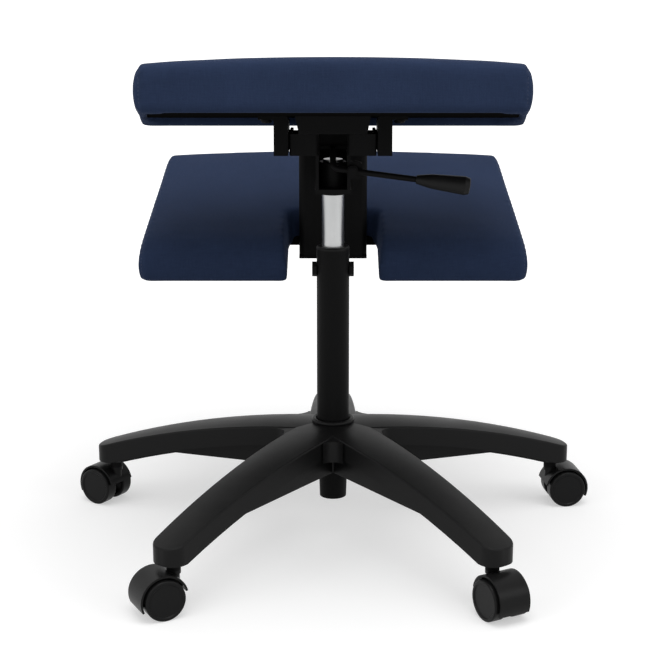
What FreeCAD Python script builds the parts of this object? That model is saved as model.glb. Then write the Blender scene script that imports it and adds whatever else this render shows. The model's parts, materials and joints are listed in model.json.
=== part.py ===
import FreeCAD, Part
import math
import os
import re

import Sketcher
from FreeCAD import Placement, Rotation, Vector

# A kneeling chair on a five-arm castor base: sloping seat, split shin pad, gas lift and release lever.
# Millimetres and degrees. +Z is up, +Y is the way the sitter faces, +X is the sitter's right hand.
# The origin is on the floor, under the middle of the column.

SIZES = {
    # Five-arm base
    "stem_circle": 318,
    "arm_reach": 22,
    "arm_end_half": 22,
    "arm_end_corner": 18,
    "arm_root_half": 33,
    "arm_floor": 64,
    "arm_bow": 1125,
    "arm_crest": -46,
    "arm_crown": 5,
    "arm_skirt": 23,
    "arm_round": 2.5,
    "arm_wall": 4,
    "boss_bevel": 3,
    "boss_rise": 14,
    "rib_wall": 4,
    "rib_half": 13,
    "keel_floor": 88,
    "keel_depth": 34,
    "cross_rib_first": 105,
    "cross_rib_pitch": 55,
    "hub_top": 154,
    "hub_radius": 46,
    "hub_slope": 8,
    "hub_floor": 117,
    "hub_wall": 5,
    "hub_valley": 16,
    "hub_socket_radius": 27,
    "bead_radius": 24.8,
    "bead_thickness": 6.4,
    # Castors
    "wheel_diameter": 50,
    "wheel_width": 17.3,
    "wheel_gap": 0.5,
    "wheel_rim": 4,
    "wheel_face": 3,
    "wheel_dish": 1.2,
    "wheel_boss": 6,
    "castor_trail": 20,
    "fork_half": 7,
    "hood_gap": 2.4,
    "hood_wall": 2.6,
    "hood_half": 20.5,
    "hood_start": 13,
    "hood_sweep": 190,
    "hood_boss_top": 53,
    "hood_boss_floor": 33,
    "hood_neck": 4.5,
    "axle_diameter": 6,
    "axle_boss_radius": 8,
    "stem_diameter": 11,
    "stem_collar": 17,
    "stem_swivel_gap": 1,
    "stem_socket_depth": 23,
    "sleeve_wall": 1.5,
    "castor_turn_1": 75,
    "castor_turn_2": 147,
    "castor_turn_3": 208,
    "castor_turn_4": 298,
    "castor_turn_5": 8,
    # Column and gas lift
    "column_diameter": 42,
    "column_wall": 2,
    "column_top": 383,
    "column_foot": 48,
    "column_foot_diameter": 35,
    "column_plug_height": 6,
    "column_plug": 4,
    "bush_cap": 3.5,
    "bush_length": 80,
    "bush_screw_height": 356,
    "bush_screw_diameter": 10,
    "bush_screw_head": 17,
    "bush_screw_head_height": 5.8,
    "bush_screw_depth": 5,
    "cylinder_diameter": 28,
    "cylinder_wall": 2,
    "cylinder_floor": 217,
    "cylinder_top": 498,
    "cone_length": 44,
    "cone_top_diameter": 25.6,
    "cylinder_head": 36,
    "gland_length": 15,
    "rod_diameter": 10,
    "piston_floor": 312,
    "piston_length": 20,
    "race_diameter": 26,
    "race_thickness": 2.5,
    "ball_diameter": 4,
    "ball_circle": 18,
    "ball_count": 10,
    "rod_collar_diameter": 16,
    "rod_collar": 4,
    "clip_thickness": 1.5,
    "clip_diameter": 20,
    "clip_groove": 1.5,
    "button_diameter": 8,
    "button_rise": 9,
    "button_stem": 20,
    # Mechanism channel, head and socket
    "channel_rear": -35,
    "channel_floor": 458.5,
    "channel_inner": 35.3,
    "channel_wall": 4,
    "channel_base": 6,
    "channel_lip": 1,
    "socket_wall": 3.7,
    "socket_drop": 4.5,
    "socket_top": 495,
    "head_floor": 507.5,
    "head_plate": 5,
    "head_height": 22,
    "head_half": 53.8,
    "head_rear": -40,
    "head_front": 25,
    "head_sheet": 4,
    "head_bend": 9,
    # Seat carriers and seat
    "bracket_inner": 55.2,
    "bracket_sheet": 4,
    "bracket_return": 17.8,
    "bracket_flange": 37,
    "bracket_floor": 508.5,
    "bracket_rear": -48,
    "bracket_front": 28,
    "bracket_bend": 3,
    "bolt_diameter": 10,
    "bolt_head": 17,
    "bolt_head_height": 6.4,
    "bolt_nut_height": 8,
    "bolt_height": 523.5,
    "bolt_first": -22,
    "bolt_pitch": 30,
    "saddle_top_half": 46.5,
    "saddle_floor_half": 42,
    "saddle_rear": -45,
    "saddle_front": 20,
    "saddle_wall": 4,
    "seat_tilt": 8,
    "seat_rear": -270,
    "seat_rear_height": 586.5,
    "seat_depth": 338,
    "seat_rear_half": 216,
    "seat_front_half": 252.5,
    "seat_side": 54,
    "seat_crown": 6,
    "seat_hem": 2,
    "seat_rear_roll": 15,
    "seat_front_roll": 26,
    "seat_front_drop": 12,
    "seat_board": 12,
    "seat_board_inset": 14,
    "seat_board_corner": 30,
    "seat_screw_side": 83,
    "seat_screw_first": 236,
    "seat_screw_pitch": 27,
    "seat_screw_count": 3,
    "side_tuck": 7,
    "cushion_corner": 12,
    "cushion_hem_round": 5,
    # Shin pad and hanger
    "hanger_rear": 78,
    "hanger_half": 45,
    "hanger_sheet": 5,
    "hanger_depth": 11,
    "hanger_bend": 8,
    "hanger_toe": 226,
    "hanger_corner": 4,
    "knee_tilt": 15.8,
    "knee_rear": 11,
    "knee_rear_height": 333.5,
    "knee_depth": 307,
    "knee_rear_half": 253.5,
    "knee_front_half": 241,
    "knee_side": 50,
    "knee_crown": 6,
    "knee_hem": 4,
    "knee_rear_roll": 42,
    "knee_front_roll": 16,
    "knee_notch_half": 59.5,
    "knee_notch_depth": 102,
    "knee_notch_corner": 10,
    "knee_notch_flare": 5,
    "knee_board": 12,
    "knee_board_inset": 14,
    "knee_board_corner": 25,
    "knee_screw_side": 28,
    "knee_screw_first": 130,
    "knee_screw_pitch": 70,
    # Screws and tee nuts in both boards
    "screw_diameter": 6,
    "screw_head": 12,
    "screw_head_height": 3.5,
    "tee_flange": 18,
    "tee_flange_height": 1.5,
    "tee_barrel": 8,
    # Release lever
    "lever_diameter": 7.5,
    "lever_height": 492,
    "lever_slope": 7.5,
    "lever_arm": 24,
    "lever_boss": 14,
    "lever_boss_length": 9,
    "lever_side_gap": 1,
    "lever_bend": 9,
    "lever_tip": 5,
    "lever_tip_gap": 0.3,
    "lever_rise_at": -16,
    "pin_diameter": 6,
    "pin_head": 10,
    "pin_head_height": 2,
    "tab_reach": 12,
    "tab_half_height": 11,
    "grip_start": 103,
    "grip_length": 67,
    "grip_neck": 10.6,
    "grip_shoulder": 18,
    "grip_diameter": 23.6,
    "grip_end": 20,
    "grip_bore_depth": 45,
    # Clearances
    "running_gap": 0.05,
    "seat_gap": 0.05,
    "fit_gap": 0.2,
}

ARM_COUNT = 5
ARM_STEP = 360 / ARM_COUNT
FRONT = 90
CROSS_RIBS = 3
UP = Vector(0, 0, 1)
RIGHT = Vector(1, 0, 0)
FORWARD = Vector(0, 1, 0)

doc = FreeCAD.newDocument("KneelingChair")
sheet = doc.addObject("Spreadsheet::Sheet", "Sizes")
for row, (alias, number) in enumerate(SIZES.items(), start=1):
    sheet.set(f"A{row}", alias)
    sheet.set(f"B{row}", str(number))
    sheet.setAlias(f"B{row}", alias)
doc.recompute()

pieces = []


# Expressions in plain size names

def bound(text):
    """The expression with each size name pointing at its cell."""
    return re.sub(r"[A-Za-z_]\w*", lambda word: f"Sizes.{word[0]}" if word[0] in SIZES else word[0],
                  str(text))


def size(text):
    """The present value of an expression in size names."""
    result = sheet.evalExpression(bound(text))
    return float(getattr(result, "Value", result))


def seat_at(forward, height):
    """Place in the seat's own sloping frame of a point given in the chair's frame."""
    away = f"(({forward}) - seat_rear)"
    rise = f"(({height}) - seat_rear_height)"
    along = f"({away} * cos(seat_tilt) - {rise} * sin(seat_tilt))"
    above = f"({away} * sin(seat_tilt) + {rise} * cos(seat_tilt))"
    return along, above


def board_height(forward):
    """Height of the seat board's underside above the floor, at a place along the chair."""
    return f"(seat_rear_height + seat_hem / cos(seat_tilt) - (({forward}) - seat_rear) * tan(seat_tilt))"


def knee_point(along, above):
    """Place in the chair's frame of a point given in the shin pad's own sloping frame."""
    forward = f"(knee_rear + ({along}) * cos(knee_tilt) - ({above}) * sin(knee_tilt))"
    height = f"(knee_rear_height + ({along}) * sin(knee_tilt) + ({above}) * cos(knee_tilt))"
    return forward, height


SEAT_PLACE = Placement(Vector(0, size("seat_rear"), size("seat_rear_height")),
                       Rotation(RIGHT, -size("seat_tilt")))
KNEE_PLACE = Placement(Vector(0, size("knee_rear"), size("knee_rear_height")),
                       Rotation(RIGHT, size("knee_tilt")))


# Modelling helpers

def new_body(label, keep=True):
    body = doc.addObject("PartDesign::Body", label)
    body.Label = label
    if keep:
        pieces.append(body)
    return body


def put(piece, x="0", y="0", z="0", turn=Rotation()):
    """Place a piece, with its position bound to the sheet."""
    piece.Placement = Placement(Vector(size(x), size(y), size(z)), turn)
    for axis, text in zip("xyz", (x, y, z)):
        piece.setExpression(f"Placement.Base.{axis}", bound(text))


def sketch_on(body, role, name, at=("0", "0", "0"), turn=Rotation()):
    """A sketch on one of the body's own origin planes, shifted and turned in that plane's frame."""
    plane = next(feature for feature in body.Origin.OriginFeatures if feature.Role == role)
    sketch = body.newObject("Sketcher::SketchObject", name)
    sketch.AttachmentSupport = [(plane, "")]
    sketch.MapMode = "FlatFace"
    sketch.AttachmentOffset = Placement(Vector(*(size(text) for text in at)), turn)
    for axis, text in zip("xyz", at):
        sketch.setExpression(f"AttachmentOffset.Base.{axis}", bound(text))
    return sketch


def pin_point(sketch, edge, end, x, y):
    """Hold a point of a sketch at two expressions from the sketch's origin."""
    for kind, text in (("DistanceX", x), ("DistanceY", y)):
        index = sketch.addConstraint(Sketcher.Constraint(kind, -1, 1, edge, end, size(text)))
        sketch.setExpression(f"Constraints[{index}]", bound(text))


def polygon(sketch, corners):
    """A closed outline of straight lines through corners given as pairs of expressions."""
    spots = [Vector(size(x), size(y), 0) for x, y in corners]
    count = len(spots)
    lines = [Part.LineSegment(spots[i], spots[(i + 1) % count]) for i in range(count)]
    edges = sketch.addGeometry(lines, False)
    for i in range(count):
        sketch.addConstraint(Sketcher.Constraint("Coincident", edges[i], 2, edges[(i + 1) % count], 1))
    for edge, (x, y) in zip(edges, corners):
        pin_point(sketch, edge, 1, x, y)
    return sketch


def rectangle(sketch, left, bottom, right, top):
    return polygon(sketch, [(left, bottom), (right, bottom), (right, top), (left, top)])


def circle(sketch, x, y, diameter):
    edge = sketch.addGeometry(Part.Circle(Vector(size(x), size(y), 0), UP, size(diameter) / 2), False)
    pin_point(sketch, edge, 3, x, y)
    index = sketch.addConstraint(Sketcher.Constraint("Diameter", edge, size(diameter)))
    sketch.setExpression(f"Constraints[{index}]", bound(diameter))
    return sketch


def hexagon(sketch, across_flats):
    """A hexagon about the sketch's origin, with two flats level."""
    across_corners = f"({across_flats}) / cos(30)"
    return polygon(sketch, [(f"{across_corners} / 2 * cos({a})", f"{across_corners} / 2 * sin({a})")
                            for a in range(0, 360, 60)])


def pad(body, sketch, length, name, side="One side", back=False):
    feature = body.newObject("PartDesign::Pad", name)
    feature.Profile = sketch
    feature.setExpression("Length", bound(length))
    feature.SideType = side
    feature.Reversed = back
    return feature


def pocket(body, sketch, name, length=None, side="One side", back=False):
    """Cut a sketch out of the body, right through it both ways when no length is given."""
    doc.recompute()
    before = body.Shape.Volume
    feature = body.newObject("PartDesign::Pocket", name)
    feature.Profile = sketch
    feature.SideType = side
    feature.Reversed = back
    if length is None:
        feature.Type = "ThroughAll"
        feature.SideType = "Symmetric"
    else:
        feature.setExpression("Length", bound(length))
    doc.recompute()
    if body.Shape.Volume > before - 1e-6:
        raise RuntimeError(f"{body.Label}: {name} cuts nothing")
    return feature


def revolve(body, sketch, name, sweep="360", cut=False, axis="V_Axis"):
    doc.recompute()
    before = body.Shape.Volume if cut else 0
    feature = body.newObject("PartDesign::Groove" if cut else "PartDesign::Revolution", name)
    feature.Profile = sketch
    feature.ReferenceAxis = (sketch, [axis])
    feature.setExpression("Angle", bound(sweep))
    doc.recompute()
    if cut and body.Shape.Volume > before - 1e-6:
        raise RuntimeError(f"{body.Label}: {name} cuts nothing")
    return feature


def round_edges(body, radius, chosen, name="Rounding"):
    """Fillet the edges of the body's present shape that a test picks out."""
    doc.recompute()
    shape = body.Tip.Shape
    edges = [f"Edge{i}" for i, edge in enumerate(shape.Edges, start=1) if chosen(edge)]
    feature = body.newObject("PartDesign::Fillet", name)
    feature.Base = (body.Tip if body.Tip != feature else feature.BaseFeature, edges)
    feature.setExpression("Radius", bound(radius))
    return feature


def runs_along(edge, direction):
    straight = edge.Curve.TypeId == "Part::GeomLine"
    return straight and edge.tangentAt(edge.FirstParameter).cross(direction).Length < 1e-6


def is_ring(edge, radius, height=None):
    """Whether an edge is a circle of this radius, and at this height if one is given."""
    if edge.Curve.TypeId != "Part::GeomCircle" or abs(edge.Curve.Radius - radius) > 1e-4:
        return False
    return height is None or abs(edge.Curve.Center.z - height) < 1e-4


def turned(label, outline, keep=True):
    """A body turned about its own Z axis, from an outline of (radius, height) pairs."""
    body = new_body(label, keep)
    revolve(body, polygon(sketch_on(body, "XZ_Plane", f"{label}_outline"), outline), f"{label}_turning")
    return body


def group(label, pattern, places):
    """Copies of one pattern piece, as separate solids of one node."""
    doc.recompute()
    copies = []
    for place in places:
        copy = pattern.Shape.copy()
        copy.Placement = place.multiply(pattern.Placement)
        copies.append(copy)
    piece = doc.addObject("Part::Feature", label)
    piece.Label = label
    piece.Shape = Part.makeCompound(copies)
    pieces.append(piece)
    return piece


def moulded(label, shape, place=Placement()):
    """A piece whose sculpted shape is made from curves in code."""
    piece = doc.addObject("Part::Feature", label)
    piece.Label = label
    piece.Shape = shape
    piece.Placement = place
    pieces.append(piece)
    return piece


def line(start, end):
    return Part.LineSegment(start, end).toShape()


def arc(start, middle, end):
    return Part.Arc(start, middle, end).toShape()


# Five-arm base: bowed, crowned and hollow arms with ribs below, on a hub with a socket for the column

def bow_height(away):
    """Height of an arm's top along its middle, at a distance from the column."""
    bow = size("arm_bow")
    return size("hub_top - arm_bow") + math.sqrt(bow ** 2 - (away - size("arm_crest")) ** 2)


def arm_blank(inset, depth, end):
    """The bowed bar that an arm is cut from: a crowned section, an inset inside the skin, turned about the bow's axis."""
    half = size("arm_root_half + arm_wall")
    crest = size("arm_crest")
    bow = size("arm_bow")
    top = size("hub_top") - inset
    crease = top - size("arm_crown")
    right = Vector(crest, half, crease)
    left = Vector(crest, -half, crease)
    right_low = Vector(crest, half, crease - depth)
    left_low = Vector(crest, -half, crease - depth)
    section = Part.Face(Part.Wire([arc(left, Vector(crest, 0, top), right), line(right, right_low),
                                   line(right_low, left_low), line(left_low, left)]))
    axis = Vector(crest, 0, size("hub_top") - bow)
    start = math.degrees(math.asin(-crest / bow))
    sweep = math.degrees(math.asin((end - crest) / bow)) - start
    section.rotate(axis, FORWARD, start)
    return section.revolve(axis, FORWARD, sweep)


def arm_plan(inset, end):
    """Plan of an arm, tapering to an end with rounded corners, pulled up to a slab."""
    root = size("arm_root_half") - inset
    tip = root - size("arm_root_half - arm_end_half") * end / size("stem_circle")
    spots = [Vector(0, -root, 0), Vector(end, -tip, 0), Vector(end, tip, 0), Vector(0, root, 0)]
    outline = rounded_path(spots, size("arm_end_corner") - inset)
    closed = Part.Wire(outline.Edges + [line(spots[3], spots[0])])
    return Part.Face(closed).extrude(UP * size("hub_top"))


def on_crease(edge, end):
    """Whether an edge of an arm lies along its top's rim."""
    spot = edge.valueAt((edge.FirstParameter + edge.LastParameter) / 2)
    crest = bow_height(spot.x)
    return crest - size("arm_crown") - 1 < spot.z < crest + 1 and (abs(spot.y) > 1 or spot.x > end - 1) and spot.x > 1


def arm_solid():
    """One arm along +X before it is hollowed, with a round boss over the castor."""
    end = size("stem_circle + arm_reach")
    floor = size("arm_floor")
    radius = size("arm_end_half")
    arm = arm_blank(0, size("arm_skirt"), 1.1 * end).common(arm_plan(0, end))
    arm = arm.makeFillet(size("arm_round"), [edge for edge in arm.Edges if on_crease(edge, end)])
    boss = Part.makeCylinder(radius, size("boss_rise"), Vector(size("stem_circle"), 0, floor))
    boss = boss.makeChamfer(size("boss_bevel"), [edge for edge in boss.Edges if is_ring(edge, radius, floor)])
    below = Part.makeBox(end, 2 * end, floor, Vector(size("stem_circle") - radius, -end, 0))
    return arm.cut(below).fuse(boss)


def arm_hollow():
    """The hollow under an arm, up to the boss."""
    wall = size("arm_wall")
    end = size("stem_circle - arm_end_half")
    return arm_blank(wall, 2 * size("arm_skirt"), 1.1 * end).common(arm_plan(wall, end))


def rib_floor():
    """The air below an arm's ribs: level by the hub, then bowed like the arm's top."""
    depth = size("keel_depth")
    level = size("keel_floor")
    bow = size("arm_bow")
    spread = 2 * size("arm_root_half")
    turn = size("arm_crest") + math.sqrt(bow ** 2 - (level + depth - size("hub_top - arm_bow")) ** 2)
    end = size("stem_circle")
    low = -size("hub_top")
    spots = [Vector(away, -spread, height) for away, height in (
        (0, level), (turn, level), ((turn + end) / 2, bow_height((turn + end) / 2) - depth),
        (end, bow_height(end) - depth),
        (end, low), (0, low))]
    edges = [line(spots[0], spots[1]), arc(spots[1], spots[2], spots[3]), line(spots[3], spots[4]),
             line(spots[4], spots[5]), line(spots[5], spots[0])]
    return Part.Face(Part.Wire(edges)).extrude(FORWARD * 2 * spread)


def arm_ribs():
    """Two ribs along an arm from the hub's socket to the boss, and ribs across it."""
    wall = size("rib_wall")
    cover = size("arm_wall / 2")
    end = size("stem_circle - arm_end_half / 2")
    start = size("hub_socket_radius - hub_wall")
    inside = arm_blank(cover, size("hub_top"), 1.1 * end).common(arm_plan(cover, end))
    plates = []
    for hand in (1, -1):
        plates.append(Part.makeBox(end - start, wall, size("hub_top"),
                                   Vector(start, hand * size("rib_half") - wall / 2, 0)))
    for count in range(CROSS_RIBS):
        away = size("cross_rib_first") + count * size("cross_rib_pitch")
        spread = size("rib_half")
        plates.append(Part.makeBox(wall, 2 * spread, size("hub_top"), Vector(away - wall / 2, -spread, 0)))
    ribs = plates[0].fuse(plates[1:])
    return ribs.common(inside).cut(rib_floor())


def valley(hand):
    """The web beside an arm at the hub, hollowed by an arc that runs into the sides of both its arms."""
    half_step = math.radians(ARM_STEP / 2)
    radius = size("hub_valley")
    crotch = size("arm_root_half") / math.sin(half_step)
    centre = crotch + radius / math.sin(half_step)
    touch = radius / math.tan(half_step)
    right = Vector(crotch + touch * math.cos(half_step), -touch * math.sin(half_step), 0)
    left = Vector(right.x, -right.y, 0)
    edges = [line(Vector(), right), arc(right, Vector(centre - radius, 0, 0), left), line(left, Vector())]
    web = Part.Face(Part.Wire(edges)).extrude(UP * size("hub_top"))
    web.rotate(Vector(), UP, hand * ARM_STEP / 2)
    return web


def column_radius(height):
    """Outer radius of the column, straight above the hub and tapering below it."""
    share = (min(height, size("hub_top")) - size("column_foot")) / size("hub_top - column_foot")
    foot = size("column_foot_diameter / 2")
    return foot + share * (size("column_diameter / 2") - foot)


def base_sector():
    """The fifth of the base that holds one arm along +X, cut out of it like a slice of cake."""
    top = size("hub_top")
    floor = size("hub_floor")
    radius = size("hub_radius")
    reach = size("stem_circle + 2 * arm_reach")
    fall = reach * math.tan(math.radians(size("hub_slope")))
    roof = Part.makeCone(reach, 0, fall, Vector(0, 0, top - fall))
    hub = Part.makeCylinder(radius, top - floor,
                            Vector(0, 0, floor)).fuse([valley(1), valley(-1)]).common(roof)
    hub = hub.cut(Part.makeBox(2 * reach, 2 * reach, floor, Vector(-reach, -reach, 0)))
    sector = hub.fuse(arm_solid()).cut(arm_hollow())
    sector = sector.cut(Part.makeCylinder(radius, top - 2 * size("hub_wall") - floor, Vector(0, 0, floor)))
    keel = size("keel_floor")
    sector = sector.fuse([arm_ribs(), Part.makeCylinder(size("hub_socket_radius"), top - keel,
                                                        Vector(0, 0, keel))])
    bead = size("bead_thickness / 2")
    sector = sector.fuse(Part.makeTorus(size("bead_radius"), bead, Vector(0, 0, top)))
    gap = size("seat_gap")
    sector = sector.cut(Part.makeCone(column_radius(0) + gap, column_radius(top) + gap, top))
    sector = sector.cut(Part.makeCylinder(column_radius(top) + gap, 2 * bead, Vector(0, 0, top)))
    bore = size("stem_diameter / 2 + sleeve_wall + seat_gap")
    sector = sector.cut(Part.makeCylinder(bore, size("stem_socket_depth"),
                                          Vector(size("stem_circle"), 0, size("arm_floor"))))
    edge = reach * math.tan(math.radians(ARM_STEP / 2))
    slice_wire = Part.makePolygon([Vector(), Vector(reach, -edge, 0), Vector(reach, edge, 0), Vector()])
    return sector.common(Part.Face(slice_wire).extrude(UP * 2 * top))


def star_base():
    sectors = []
    for count in range(ARM_COUNT):
        sector = base_sector()
        sector.rotate(Vector(), UP, FRONT + count * ARM_STEP)
        sectors.append(sector)
    moulded("star_base", sectors[0].fuse(sectors[1:]).removeSplitter())


def stem_places():
    """Each castor's own frame: its stem on the floor, with +X towards the wheels' centre."""
    places = []
    for count in range(ARM_COUNT):
        way = math.radians(FRONT + count * ARM_STEP)
        spot = Vector(math.cos(way), math.sin(way), 0) * size("stem_circle")
        places.append(Placement(spot, Rotation(UP, size(f"castor_turn_{count + 1}"))))
    return places


# Castors: a hooded fork on a stem, an axle and two dished wheels

def stem_sleeves():
    inner = "stem_diameter / 2 + running_gap"
    outer = "stem_diameter / 2 + sleeve_wall"
    floor = "arm_floor"
    top = "arm_floor + stem_socket_depth"
    pattern = turned("sleeve_pattern", [(inner, floor), (outer, floor), (outer, top), (inner, top)],
                     keep=False)
    group("stem_sleeves", pattern, [Placement(place.Base, Rotation()) for place in stem_places()])


def castor_spot(number, along):
    """Position of a point a distance behind a castor's stem, as three expressions."""
    way = FRONT + (number - 1) * ARM_STEP
    x = f"stem_circle * cos({way}) + ({along}) * cos(castor_turn_{number})"
    y = f"stem_circle * sin({way}) + ({along}) * sin(castor_turn_{number})"
    return x, y


def castor_hood(number):
    body = new_body(f"castor_hood_{number}")
    axle = ("castor_trail", "0", "wheel_diameter / 2")
    inner = "wheel_diameter / 2 + hood_gap"
    outer = f"{inner} + hood_wall"
    lean = Rotation(FORWARD, size("hood_start"))
    shell = sketch_on(body, "XY_Plane", "shell", axle, lean)
    rectangle(shell, f"-({outer})", "-hood_half", f"-({inner})", "hood_half")
    revolve(body, shell, "hood_shell", "hood_sweep")
    fork = sketch_on(body, "XY_Plane", "fork", axle, lean)
    rectangle(fork, f"-({inner} + hood_wall / 2)", "-fork_half", "0", "fork_half")
    revolve(body, fork, "fork_plate", "hood_sweep")
    hub = sketch_on(body, "XY_Plane", "axle_boss", axle)
    rectangle(hub, "-axle_boss_radius", "-fork_half", "0", "fork_half")
    revolve(body, hub, "axle_boss_turning")
    boss = circle(sketch_on(body, "XY_Plane", "stem_boss", ("0", "0", "hood_boss_floor")), "0", "0",
                  "2 * fork_half")
    pad(body, boss, "hood_boss_top - hood_boss_floor", "stem_boss_pad")
    neck = circle(sketch_on(body, "XY_Plane", "neck", ("0", "0", "hood_boss_top - hood_neck")), "0", "0",
                  "stem_collar")
    pad(body, neck, "hood_neck", "neck_pad")
    bore = sketch_on(body, "XY_Plane", "axle_bore", axle)
    rectangle(bore, "-(axle_diameter / 2 + seat_gap)", "-2 * fork_half", "0", "2 * fork_half")
    revolve(body, bore, "axle_bore_cut", cut=True)
    socket = sketch_on(body, "XY_Plane", "stem_bore", ("0", "0", "hood_boss_top"))
    circle(socket, "0", "0", "stem_diameter + 2 * seat_gap")
    pocket(body, socket, "stem_bore_cut", "hood_boss_top - hood_boss_floor - hood_wall")
    x, y = castor_spot(number, "0")
    put(body, x, y, turn=Rotation(UP, size(f"castor_turn_{number}")))


def castor_stem(number):
    radius = "stem_diameter / 2"
    collar = "stem_collar / 2"
    floor = "hood_boss_floor + hood_wall"
    shoulder = "arm_floor - stem_swivel_gap"
    top = "arm_floor + stem_socket_depth - stem_swivel_gap"
    nose = "stem_diameter / 6"
    body = turned(f"castor_stem_{number}", [
        ("0", floor), (radius, floor), (radius, "hood_boss_top"), (collar, "hood_boss_top"),
        (collar, shoulder), (radius, shoulder), (radius, f"{top} - {nose}"), (f"{radius} - {nose}", top),
        ("0", top)])
    x, y = castor_spot(number, "0")
    put(body, x, y)


def castor_axle(number):
    reach = "fork_half + wheel_gap + wheel_width - wheel_face - wheel_dish - fit_gap"
    body = turned(f"castor_axle_{number}", [
        ("0", f"-({reach})"), ("axle_diameter / 2", f"-({reach})"), ("axle_diameter / 2", reach),
        ("0", reach)])
    x, y = castor_spot(number, "castor_trail")
    across = Rotation(UP, size(f"castor_turn_{number}")).multiply(Rotation(RIGHT, -90))
    put(body, x, y, "wheel_diameter / 2", across)


def castor_wheel(number, hand, tilt):
    """A wheel turned about its axle: a rim round a dished outer face, with a boss behind it."""
    tread = "wheel_diameter / 2"
    rim = f"{tread} - wheel_rim"
    bore = "axle_diameter / 2 + running_gap"
    near = "fork_half + wheel_gap"
    far = f"{near} + wheel_width"
    web = f"{far} - wheel_dish - wheel_face"
    body = turned(f"castor_wheel_{number}_{hand}", [
        (bore, near), ("axle_diameter / 2 + wheel_boss", near), ("axle_diameter / 2 + wheel_boss", web),
        (rim, web), (rim, near), (tread, near), (tread, far), (rim, far),
        (f"{rim} - wheel_dish", f"{far} - wheel_dish"),
        ("0", f"{far} - wheel_dish"), ("0", web), (bore, web)])
    round_edges(body, "wheel_rim / 2", lambda edge: is_ring(edge, size(tread)))
    x, y = castor_spot(number, "castor_trail")
    across = Rotation(UP, size(f"castor_turn_{number}")).multiply(Rotation(RIGHT, tilt))
    put(body, x, y, "wheel_diameter / 2", across)


# Column and gas lift

def column_tube():
    outer = "column_diameter / 2"
    inner = f"{outer} - column_wall"
    foot = "column_foot_diameter / 2"
    plug_floor = "column_foot + column_plug_height"
    plug_top = f"({plug_floor} + column_plug)"
    taper = "((column_diameter - column_foot_diameter) / 2 / (hub_top - column_foot))"
    rod_hole = "rod_diameter / 2 + running_gap"
    body = turned("column_tube", [
        (f"{foot} - column_wall", "column_foot"), (foot, "column_foot"), (outer, "hub_top"),
        (outer, "column_top"),
        (inner, "column_top"), (inner, "hub_top"),
        (f"{foot} - column_wall + ({plug_top} - column_foot) * {taper}", plug_top), (rod_hole, plug_top),
        (rod_hole, plug_floor), (f"{foot} - column_wall + ({plug_floor} - column_foot) * {taper}",
                                 plug_floor)])
    hole = sketch_on(body, "YZ_Plane", "screw_holes")
    circle(hole, "0", "bush_screw_height", "bush_screw_diameter + 2 * seat_gap")
    pocket(body, hole, "screw_hole_cut")


def guide_bush():
    bore = "cylinder_diameter / 2 + running_gap"
    sleeve = "column_diameter / 2 - column_wall - seat_gap"
    cap = "column_diameter / 2"
    floor = "column_top + bush_cap - bush_length"
    top = "column_top + bush_cap"
    body = turned("guide_bush", [
        (bore, floor), (sleeve, floor), (sleeve, "column_top"), (cap, "column_top"), (cap, top), (bore, top)])
    round_edges(body, "bush_cap / 2", lambda edge: is_ring(edge, size(cap), size(top)))
    for hand in (1, -1):
        start = f"{hand} * (column_diameter / 2 - bush_screw_depth)"
        dimple = sketch_on(body, "YZ_Plane", f"dimple_{'right' if hand > 0 else 'left'}", ("0", "0", start))
        circle(dimple, "0", "bush_screw_height", "bush_screw_diameter + 2 * seat_gap")
        pocket(body, dimple, f"{dimple.Name}_cut", "bush_screw_depth", back=hand > 0)


def bush_screws():
    pattern = new_body("bush_screw_pattern", keep=False)
    shank = circle(sketch_on(pattern, "XY_Plane", "shank"), "0", "0", "bush_screw_diameter")
    pad(pattern, shank, "bush_screw_depth", "shank_pad", back=True)
    head = hexagon(sketch_on(pattern, "XY_Plane", "head"), "bush_screw_head")
    pad(pattern, head, "bush_screw_head_height", "head_pad")
    height = Vector(size("column_diameter / 2"), 0, size("bush_screw_height"))
    right = Placement(height, Rotation(FORWARD, 90))
    left = Placement(Vector(-height.x, 0, height.z), Rotation(FORWARD, -90))
    group("bush_screws", pattern, [right, left])


def gas_cylinder():
    outer = "cylinder_diameter / 2"
    inner = f"{outer} - cylinder_wall"
    cone = "cone_top_diameter / 2"
    shoulder = "cylinder_top - cone_length"
    ceiling = "cylinder_top - cylinder_head"
    hole = "button_diameter / 2 + running_gap"
    body = turned("gas_cylinder", [
        (inner, "cylinder_floor"), (outer, "cylinder_floor"), (outer, shoulder), (cone, "cylinder_top"),
        (hole, "cylinder_top"), (hole, ceiling), (inner, ceiling)])
    round_edges(body, "cylinder_wall / 2", lambda edge: is_ring(edge, size(cone), size("cylinder_top")))


def cylinder_gland():
    bore = "rod_diameter / 2 + running_gap"
    outer = "cylinder_diameter / 2 - cylinder_wall - seat_gap"
    top = "cylinder_floor + gland_length"
    turned("cylinder_gland", [(bore, "cylinder_floor"), (outer, "cylinder_floor"), (outer, top), (bore, top)])


def bearing_floor():
    return "(column_foot + column_plug_height + column_plug)"


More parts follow.
